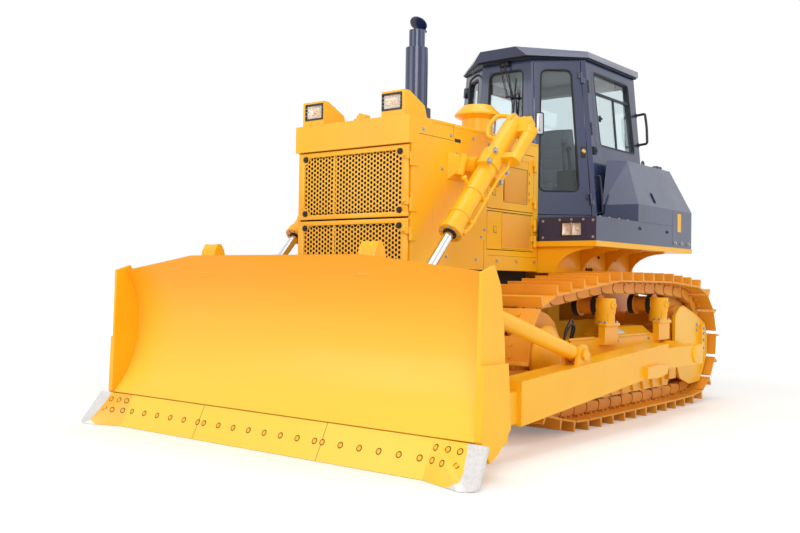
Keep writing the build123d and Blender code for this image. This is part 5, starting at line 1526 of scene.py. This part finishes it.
class BULLDOZER_OT_tracks(bpy.types.Operator):
    """Shoe bolts, pins and raised link sides of both tracks, and the carrier rollers' bands and caps"""

    bl_idname = "bulldozer.tracks"
    bl_label = "Track fittings"

    def execute(self, context):
        bolts, pins = bmesh.new(), bmesh.new()
        for middle, along, out, half in link_places():
            for y in (-0.125, 0.125):
                for shift in (-0.040, 0.045):
                    foot = middle + along * shift + out * 0.0588 + Vector((0, TRACK_Y + y, 0))
                    add_rod(bolts, foot, foot + out * 0.013, 0.0165, sides=6)
                    inner = middle + along * shift + out * 0.0442 + Vector((0, TRACK_Y + y * 1.12, 0))
                    add_block_turned(bolts, inner, along, -out, 0.013, 0.013)
            hinge = middle + along * (half + 0.004)
            for side in (-1, 1):
                start = hinge + Vector((0, TRACK_Y + side * 0.096, 0))
                add_rod(pins, start, start + Vector((0, side * 0.027, 0)), 0.021, sides=14)
        for bm in (bolts, pins):
            mirror_copy(bm)
        settle(bolts, "shoe_bolts", "track_enamel", "chassis", 35)
        settle(pins, "track_pins", "track_enamel", "chassis", 35)
        self.links()
        self.carrier_bands()
        return {"FINISHED"}

    def links(self):
        """The links' raised sides: each nose sits in its neighbour's hollow, over gaps in painted shade."""
        plates, gaps = bmesh.new(), bmesh.new()
        for middle, along, out, half in link_places():
            reach = half + LINK_OVERLAP
            nose = self.arc(-reach, LINK_NOSE, 100, 160)
            hollow = self.arc(reach, LINK_HOLLOW, 250, -140)
            foot = [(-half * 0.55, -0.054), (half * 0.5, -0.054)]
            outline = nose + foot + hollow + [(half * 0.7, 0.040), (-half * 0.7, 0.040)]
            back = [
                (-half, -0.004), (-half * 0.78, -0.056), (half * 0.78, -0.056), (half, -0.004), (half, 0.043),
                (-half, 0.043),
            ]
            for side in (-1, 1):
                for bm, rows, low, high in ((gaps, back, -0.001, 0.002), (plates, outline, -0.001, 0.012)):
                    rings = []
                    for depth in (low, high):
                        centre = middle + Vector((0, TRACK_Y + side * (RAIL_FACE + depth), 0))
                        rings.append([bm.verts.new(centre + along * u + out * n) for u, n in rows])
                    add_prism(bm, *rings)
        for bm in (plates, gaps):
            mirror_copy(bm)
        settle(plates, "link_sides", "track_enamel", "chassis", 35)
        # The dark plates under the link sides are painted shade
        settle(gaps, "link_gaps", "shaded_paint", "chassis", 35)

    def arc(self, centre, radius, first, sweep, steps=8):
        """Points of an arc about a pin, along and outward; it starts at an angle in degrees and sweeps on."""
        angles = [math.radians(first + sweep * step / steps) for step in range(steps + 1)]
        return [(centre + radius * math.cos(angle), LINK_EYE + radius * math.sin(angle)) for angle in angles]

    def carrier_bands(self):
        """Dark bands on the carrier rollers' treads, and their bolted end caps."""
        bands, caps = bmesh.new(), bmesh.new()
        for x in CARRIER_XS:
            for low, high in ((0.064, 0.112), (-0.114, -0.064)):
                profile = ((low, 0.060), (low, 0.0945), (high, 0.0945), (high, 0.060))
                add_turned(bands, profile, (x, TRACK_Y, CARRIER_Z), LEFT, 36)
            add_turned(caps, (
                (0.0, 0.076), (0.010, 0.076), (0.014, 0.070), (0.014, 0.040), (0.020, 0.034), (0.020, 0.0),
            ), (x, 1.116, CARRIER_Z), LEFT, 32)
            for n in range(4):
                angle = math.tau * (n + 0.5) / 4
                place = (x + 0.056 * math.cos(angle), 1.130, CARRIER_Z + 0.056 * math.sin(angle))
                add_bolt(caps, place, LEFT, 0.014)
        for bm in (bands, caps):
            mirror_copy(bm)
        settle(bands, "carrier_bands", "black_rubber", "chassis", 40)
        settle(caps, "carrier_caps", "track_enamel", "chassis", 35)


POST_Y = 1.150
POST_FOOT_Y = 1.154
GREASE_HOSE = 0.017
COVER_Y = 1.200
ARM_FACE_Y = 1.540
# Along and height of one guard rib from its middle
RIB_OUTLINE = ((-0.030, 0.215), (0.030, 0.215), (0.095, 0.420), (0.040, 0.420))
# Along and height of the sprocket cover's rolled rim
COVER_RIM = (
    (-1.640, 0.850), (-1.740, 0.925), (-1.830, 0.940), (-2.150, 0.850), (-2.380, 0.760), (-2.450, 0.640),
    (-2.450, 0.470), (-2.360, 0.330), (-2.250, 0.200), (-1.990, 0.190), (-1.760, 0.260),
)
# Along, height and rise of the step on each push arm
ARM_STEP = (
    (-0.180, 0.388, 0.034), (-0.180, 0.480, 0.034), (-0.390, 0.492, 0.030), (-0.640, 0.474, 0.004),
    (-0.640, 0.398, 0.004), (-0.390, 0.380, 0.030),
)


class BULLDOZER_OT_undercarriage(bpy.types.Operator):
    """Screws, covers, hoses and bosses on the track frames and the blade's arms"""

    bl_idname = "bulldozer.undercarriage"
    bl_label = "Undercarriage fittings"

    def execute(self, context):
        cast, screws, plate = bmesh.new(), bmesh.new(), bmesh.new()
        for x in CARRIER_XS:
            self.roller_post(cast, screws, x)
        self.covers(cast, screws)
        self.hoses()
        turn = Matrix.Translation((-0.60, 1.1185, 0.7355)) @ Matrix.Rotation(math.radians(-37.9), 4, "X")
        add_block(plate, (-0.075, -0.032, -0.001), (0.075, 0.032, 0.0018), 0.0008, 2, turn)
        for bm in (cast, screws, plate):
            mirror_copy(bm)
        settle(cast, "frame_castings", "yellow_enamel", "chassis", 35)
        settle(screws, "frame_screws", "zinc_plate", "chassis", 35)
        settle(plate, "bare_plate", "bare_label", "chassis", 35)
        self.arms()
        return {"FINISHED"}

    def roller_post(self, cast, screws, x):
        """A split clamp round each carrier roller's shaft on a flanged foot."""
        y = POST_FOOT_Y
        add_block(cast, (x - 0.128, y - 0.004, 0.790), (x + 0.128, y + 0.078, 0.818), 0.008, 3)
        add_turned(cast, (
            (0.0, 0.084), (0.080, 0.084), (0.092, 0.091), (0.208, 0.091), (0.214, 0.085), (0.214, 0.060),
            (0.204, 0.054), (0.204, 0.0),
        ), (x, POST_Y, 0.812), UP, 36)
        add_turned(cast, (
            (0.0, 0.030), (0.104, 0.030), (0.108, 0.026), (0.108, 0.014), (0.100, 0.010), (0.100, 0.0),
        ), (x - 0.02, POST_Y, 0.965), (0.45, 1, 0), 20)
        for dx, dy in ((-0.102, 0.010), (0.102, 0.010), (-0.098, 0.056), (0.098, 0.056)):
            add_bolt(screws, (x + dx, y + dy, 0.818), UP, 0.024)

    def covers(self, cast, screws):
        """Ribs, caps and screws of the sprocket's guard and of the roller guards."""
        y = COVER_Y
        for z in (0.520, 0.600, 0.665, 0.715):
            add_bolt(screws, (-2.2725, y + 0.034, z), LEFT, 0.022)
        for x, z in ((-2.180, 0.700), (-2.180, 0.755), (-1.700, 0.560)):
            add_bolt(screws, (x, y, z), LEFT, 0.020)
        # The cover's rolled rim
        rim = [(x, y - 0.004, z) for x, z in COVER_RIM]
        for here, after in zip(rim, rim[1:]):
            add_rod(cast, here, after, 0.009, sides=10)
        # Slanted ribs of the roller guard, and the strip along the beam's top edge
        for n in range(9):
            x = -1.42 + n * 0.21
            add_slab(cast, [(x + dx, z) for dx, z in RIB_OUTLINE], 1.158, 1.184)
        for x0, x1 in ((-1.150, -0.450), (-0.050, 0.380)):
            add_block(cast, (x0, 1.156, 0.690), (x1, 1.170, 0.712), 0.004)
        for x in (-1.12, -0.48):
            add_bolt(screws, (x, 1.162, 0.66), LEFT, 0.020)
        # Idler guard: a domed cover, its yoke and the yoke's screws
        add_turned(cast, (
            (0.0, 0.222), (0.012, 0.212), (0.026, 0.170), (0.034, 0.110), (0.036, 0.0),
        ), (0.745, 1.179, 0.600), LEFT, 48)
        add_block(cast, (0.430, 1.152, 0.505), (0.520, 1.186, 0.700), 0.008, 3)
        for z in (0.54, 0.66):
            add_bolt(screws, (0.475, 1.186, z), LEFT, 0.022)

    def hoses(self):
        """Two grease hoses on the left side that loop from the recoil housing to the idler."""
        for n, (shift, rise) in enumerate(((0.0, 0.0), (0.03, 0.035))):
            bm = bmesh.new()
            line = add_pipe(bm, (
                (0.250 + shift, 1.120, 0.700), (0.270 + shift, 1.160, 0.800 + rise),
                (0.360 + shift, 1.185, 0.835 + rise), (0.460 + shift, 1.190, 0.780), (0.500, 1.185, 0.700),
            ), GREASE_HOSE / 2, 10, 6)
            hose = settle(bm, "grease_hose_left_%d" % (n + 1), "black_rubber", "chassis", 50)

    def arms(self):
        """Raised step, bosses and pin heads on the push arms."""
        bm = bmesh.new()
        low = [bm.verts.new((x, ARM_FACE_Y - 0.003, z)) for x, z, _ in ARM_STEP]
        top = [bm.verts.new((x, ARM_FACE_Y + rise, z)) for x, z, rise in ARM_STEP]
        add_prism(bm, low, top)
        add_turned(bm, (
            (0.0, 0.085), (0.014, 0.085), (0.020, 0.078), (0.020, 0.046), (0.026, 0.042), (0.026, 0.0),
        ), (2.080, 1.508, 0.335), LEFT, 36)
        add_turned(bm, (
            (0.0, 0.080), (0.012, 0.080), (0.016, 0.072), (0.016, 0.030), (0.022, 0.026), (0.022, 0.0),
        ), (-1.425, 1.480, 0.520), LEFT, 36)
        mirror_copy(bm)
        settle(bm, "arm_bosses", "yellow_enamel", "blade", 35)


# Fenders, tanks and the rear


TANK_Y = 1.140
CASE_X = -2.260
CASE_Z = 0.860
CASE_SCREWS = 12
GUSSET_XS = (-0.166, -0.640, -1.130, -1.640)
WEB_Y = 0.735
WEB_BOLTS = (
    (-0.690, 1.400), (-0.735, 1.380), (-0.780, 1.380), (-0.730, 1.270), (-0.775, 1.270), (-0.820, 1.270),
    (-0.960, 1.385), (-1.260, 1.375), (-1.310, 1.372), (-1.270, 1.430),
)


class BULLDOZER_OT_body(bpy.types.Operator):
    """Screws, handles, joint lines and caps on the fenders, tanks and rear case"""

    bl_idname = "bulldozer.body"
    bl_label = "Fender and tank fittings"

    def execute(self, context):
        parts = zinc, lines, navy, yellow, plate, dark = [bmesh.new() for _ in range(6)]
        self.tank_side(zinc, lines, navy, plate)
        self.tank_top(lines, navy)
        self.fender(zinc, lines, yellow, dark)
        for bm in parts:
            mirror_copy(bm)
        self.rear(zinc, navy, yellow)
        for bm, piece, paint, slot in (
            (zinc, "body_screws", "zinc_plate", "bare_steel"),
            (dark, "fender_web_bolts", "shaded_paint", "yellow_paint"),
            (lines, "body_joint_lines_and_recess_shade", "black_rubber", "dark_plastic"),
            (navy, "tank_fittings", "navy_enamel", "navy_paint"),
            (yellow, "case_fittings", "yellow_enamel", "yellow_paint"),
            (plate, "bare_yellow_plate", "yellow_enamel", "yellow_paint"),
        ):
            settle(bm, piece, paint, "chassis", 35)
        return {"FINISHED"}

    def tank_side(self, zinc, lines, navy, plate):
        """Joint lines, screws and the blank plate on the upright face of a side tank."""
        side_plate(lines, TANK_Y, (-1.6965, 1.504), (-1.6935, 1.858))
        side_plate(lines, TANK_Y, (-1.690, 1.7015), (-0.925, 1.7045))
        for x in (-1.751, -1.914, -2.082):
            add_bolt(zinc, (x, TANK_Y, 1.544), LEFT, 0.024)
        for x, z in ((-0.964, 1.643), (-1.572, 1.641)):
            add_bolt(navy, (x, TANK_Y, z), LEFT, 0.022)
        add_block(plate, (-1.900, TANK_Y - 0.001, 1.655), (-1.815, TANK_Y + 0.002, 1.830), 0.0008)

    def tank_top(self, lines, navy):
        """The recessed pull on a tank's slope, and the lifting eye and filler cap on its top."""
        slope = Matrix.Translation((-1.330, 1.100, 1.945)) @ Matrix.Rotation(math.radians(-64.3), 4, "X")
        # Painted shade: a dark plate stands for the pull's recess, with the navy grip over it
        add_block(lines, (-0.014, -0.055, -0.001), (0.014, 0.055, 0.003), 0.001, 2, slope)
        add_block(navy, (-0.010, -0.045, 0.003), (0.010, 0.045, 0.012), 0.004, 2, slope)
        add_pipe(navy, (
            (-1.62, 0.875, 2.279), (-1.62, 0.875, 2.318), (-1.60, 0.875, 2.335), (-1.575, 0.875, 2.318),
            (-1.575, 0.875, 2.279),
        ), 0.008, 10, 4)
        add_turned(navy, (
            (0.0, 0.062), (0.022, 0.062), (0.028, 0.056), (0.030, 0.030), (0.038, 0.026), (0.038, 0.0),
        ), (-1.90, 0.875, 2.278), UP, 32)

    def fender(self, zinc, lines, yellow, dark):
        """Joint line and screws of a fender box, and the webs between the gussets with their bolts."""
        add_block(lines, (-0.112, 1.040, 1.505), (-0.1094, 1.043, 1.700))
        for y, z in ((0.64, 1.53), (0.64, 1.67), (1.11, 1.53), (1.11, 1.67)):
            add_bolt(zinc, (-0.110, y, z), AHEAD, 0.014)
        for x in (-0.22, -0.40, -0.58, -0.76):
            add_bolt(zinc, (x, 1.115, 1.703), UP, 0.014)
        for x0, x1 in zip(GUSSET_XS[1:], GUSSET_XS):
            add_block(yellow, (x0 + 0.0165, WEB_Y - 0.012, 1.232), (x1 - 0.0005, WEB_Y, 1.4545), 0.003)
        # The web bolts are painted shade: brown, as they sit in shadow under the fender
        for x, z in WEB_BOLTS:
            add_bolt(dark, (x, WEB_Y, z), LEFT, 0.020)

    def rear(self, zinc, navy, yellow):
        """Fuel filler, case cover with its screws, and the bushes of the drawbar's pin."""
        add_turned(navy, (
            (0.0, 0.070), (0.024, 0.070), (0.030, 0.064), (0.032, 0.034), (0.042, 0.030), (0.042, 0.0),
        ), (-1.995, 0.560, 2.228), UP, 32)
        add_turned(yellow, (
            (0.0, 0.270), (0.016, 0.270), (0.024, 0.260), (0.026, 0.110), (0.044, 0.095), (0.046, 0.0),
        ), (CASE_X, 0, CASE_Z), -AHEAD, 44)
        for n in range(CASE_SCREWS):
            angle = math.tau * (n + 0.5) / CASE_SCREWS
            place = (CASE_X - 0.024, 0.225 * math.cos(angle), CASE_Z + 0.225 * math.sin(angle))
            add_bolt(zinc, place, -AHEAD, 0.024)
        for side in (-1, 1):
            for z in (0.480, 1.200):
                for y in (0.16, 0.42):
                    add_bolt(zinc, (CASE_X, side * y, z), -AHEAD, 0.024)
        for z in (0.485, 0.615):
            add_turned(yellow, (
                (-0.022, 0.045), (0.042, 0.045), (0.046, 0.040), (0.046, 0.029), (-0.026, 0.029),
                (-0.026, 0.040), (-0.022, 0.045),
            ), (-2.660, 0, z), UP, 32)


# Stage


# The photograph's camera
EYE = Vector((6.945, 4.688, 1.141))
EYE_YAW = math.radians(-141.53)
EYE_PITCH = math.radians(0.89)
EYE_ROLL = math.radians(0.85)
LENS_MM = 42.3
WORLD_LIGHT = 0.55
FLOOR_SIZE = 200.0
# The floor grows to plain white between these distances
FLOOR_FADE_START = 4.0
FLOOR_FADE_END = 16.0
FLOOR_GLOW = 0.2
# Light name, place, what it looks at, width, height, watts
LAMPS = (
    ("key", (9.5, 6.5, 6.5), (0.6, 0.0, 1.2), 5.0, 5.0, 430.0),
    ("fill", (10.0, -4.0, 4.0), (1.5, -0.5, 1.0), 6.0, 4.0, 190.0),
    ("side", (-2.0, 9.5, 4.5), (-0.8, 0.6, 1.2), 6.0, 4.0, 120.0),
    ("top", (0.0, 0.5, 9.0), (0.0, 0.0, 1.0), 7.0, 5.0, 260.0),
)


class BULLDOZER_OT_stage(bpy.types.Operator):
    """Floor, soft lamps and the camera at the photograph's place"""

    bl_idname = "bulldozer.stage"
    bl_label = "Stage"

    def execute(self, context):
        scene = context.scene
        scene.view_settings.view_transform = "Standard"
        self.white_world(scene)
        self.pale_floor()
        self.soft_lamps(scene)
        self.photo_camera(scene)
        return {"FINISHED"}

    def soft_lamps(self, scene):
        """Large rectangular lamps around the machine."""
        for name, place, target, width, height, watts in LAMPS:
            lamp = bpy.data.lights.new(name, "AREA")
            lamp.shape, lamp.size, lamp.size_y, lamp.energy = "RECTANGLE", width, height, watts
            holder = bpy.data.objects.new(name, lamp)
            holder.location = place
            holder.rotation_euler = (Vector(target) - Vector(place)).to_track_quat("-Z", "Y").to_euler()
            scene.collection.objects.link(holder)

    def photo_camera(self, scene):
        """The camera at EYE, turned by its yaw, pitch and roll."""
        camera = bpy.data.cameras.new("photo_camera")
        camera.lens, camera.sensor_width, camera.clip_end = LENS_MM, 36.0, 500.0
        holder = bpy.data.objects.new("photo_camera", camera)
        flat = math.cos(EYE_PITCH)
        ahead = Vector((math.cos(EYE_YAW) * flat, math.sin(EYE_YAW) * flat, math.sin(EYE_PITCH)))
        level = Vector((math.sin(EYE_YAW), -math.cos(EYE_YAW), 0.0))
        above = level.cross(ahead)
        across = level * math.cos(EYE_ROLL) + above * math.sin(EYE_ROLL)
        up = above * math.cos(EYE_ROLL) - level * math.sin(EYE_ROLL)
        turned = Matrix((across, up, -ahead)).transposed().to_4x4()
        holder.matrix_world = Matrix.Translation(EYE) @ turned
        scene.collection.objects.link(holder)
        scene.camera = holder

    def seen_directly(self, tree):
        """1 for rays that show the background itself, through glass or in a mirror too."""
        path = node(tree, "ShaderNodeLightPath").outputs
        seen = calc(tree, "MAXIMUM", path["Is Camera Ray"], path["Is Glossy Ray"])
        return calc(tree, "MAXIMUM", seen, path["Is Transmission Ray"])

    def white_world(self, scene):
        """White where the background itself is seen, and a softer light on the machine."""
        world = bpy.data.worlds.new("studio")
        scene.world = world
        world.use_nodes = True
        tree = world.node_tree
        tree.nodes.clear()
        strength = span(tree, self.seen_directly(tree), 0.0, 1.0, WORLD_LIGHT, 1.0)
        sky = node(tree, "ShaderNodeBackground", {"Color": (1.0, 1.0, 1.0, 1.0), "Strength": strength})
        node(tree, "ShaderNodeOutputWorld", {"Surface": sky.outputs["Background"]})

    def pale_floor(self):
        """A matt floor that takes soft shadows near the machine and fades to the white world."""
        tree, shader = finish("pale_floor", {
            "Base Color": linear("F2F2F0"), "Roughness": 0.9, "Specular IOR Level": 0.1,
        })
        away = node(tree, "ShaderNodeVectorMath", {0: place_of(tree)}, operation="LENGTH").outputs["Value"]
        rise = span(tree, away, FLOOR_FADE_START, FLOOR_FADE_END, FLOOR_GLOW, 1.0)
        glow = calc(tree, "MULTIPLY", self.seen_directly(tree), rise)
        tree.links.new(glow, shader.inputs["Emission Strength"])
        shader.inputs["Emission Color"].default_value = (1.0, 1.0, 1.0, 1.0)
        bm = bmesh.new()
        bmesh.ops.create_grid(bm, x_segments=1, y_segments=1, size=FLOOR_SIZE / 2)
        mesh = bpy.data.meshes.new("floor")
        bm.to_mesh(mesh)
        bm.free()
        mesh.materials.append(FINISHES["pale_floor"])
        floor = bpy.data.objects.new("floor", mesh)
        bpy.context.scene.collection.objects.link(floor)


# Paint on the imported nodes


class BULLDOZER_OT_paint(bpy.types.Operator):
    """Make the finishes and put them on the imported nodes"""

    bl_idname = "bulldozer.paint"
    bl_label = "Paint"

    def execute(self, context):
        settings = context.scene.bulldozer
        for make in (yellow_enamel, blade_enamel, track_enamel, navy_enamel):
            make(settings)
        for make in (
            door_screen, worn_bit_paint, cast_iron_paint, chromed_rod, zinc_bolts, shaded_paint, bare_label,
            brass_lock, black_rubber, black_plastic, grey_lining, seat_vinyl, finned_core, lamp_reflector,
        ):
            make()
        clear_glass("cab_glass", "E4EEF0", 0.0)
        clear_glass("lamp_glass", "FFFFFF", 0.03)
        for part in frame["record"]["subparts"]:
            name = part["node"]
            paint = NODE_FINISH.get(name, SLOT_FINISH[part["material_slot"]])
            for slot in frame["nodes"][name].material_slots:
                slot.link = "OBJECT"
                slot.material = FINISHES[paint]
        return {"FINISHED"}


STEPS = (
    BULLDOZER_OT_paint, BULLDOZER_OT_blade, BULLDOZER_OT_lift, BULLDOZER_OT_hood, BULLDOZER_OT_grilles,
    BULLDOZER_OT_lamps, BULLDOZER_OT_cab, BULLDOZER_OT_doors, BULLDOZER_OT_seat, BULLDOZER_OT_tracks,
    BULLDOZER_OT_undercarriage, BULLDOZER_OT_body, BULLDOZER_OT_stage,
)


class BULLDOZER_PT_panel(bpy.types.Panel):
    """Buttons for each group of fittings"""

    bl_idname = "BULLDOZER_PT_panel"
    bl_label = "Bulldozer"
    bl_space_type = "VIEW_3D"
    bl_region_type = "UI"
    bl_category = "Bulldozer"

    def draw(self, context):
        settings = context.scene.bulldozer
        for name in ("yellow", "track_yellow", "navy", "edge_bolt"):
            self.layout.prop(settings, name)
        for step in STEPS:
            self.layout.operator(step.bl_idname)


CLASSES = (BulldozerSettings, *STEPS, BULLDOZER_PT_panel)


def register():
    for kind in CLASSES:
        bpy.utils.register_class(kind)
    bpy.types.Scene.bulldozer = bpy.props.PointerProperty(type=BulldozerSettings)


def unregister():
    del bpy.types.Scene.bulldozer
    for kind in reversed(CLASSES):
        bpy.utils.unregister_class(kind)


def main():
    register()
    for step in STEPS:
        group, name = step.bl_idname.split(".")
        getattr(getattr(bpy.ops, group), name)()


if __name__ == "__main__":
    main()
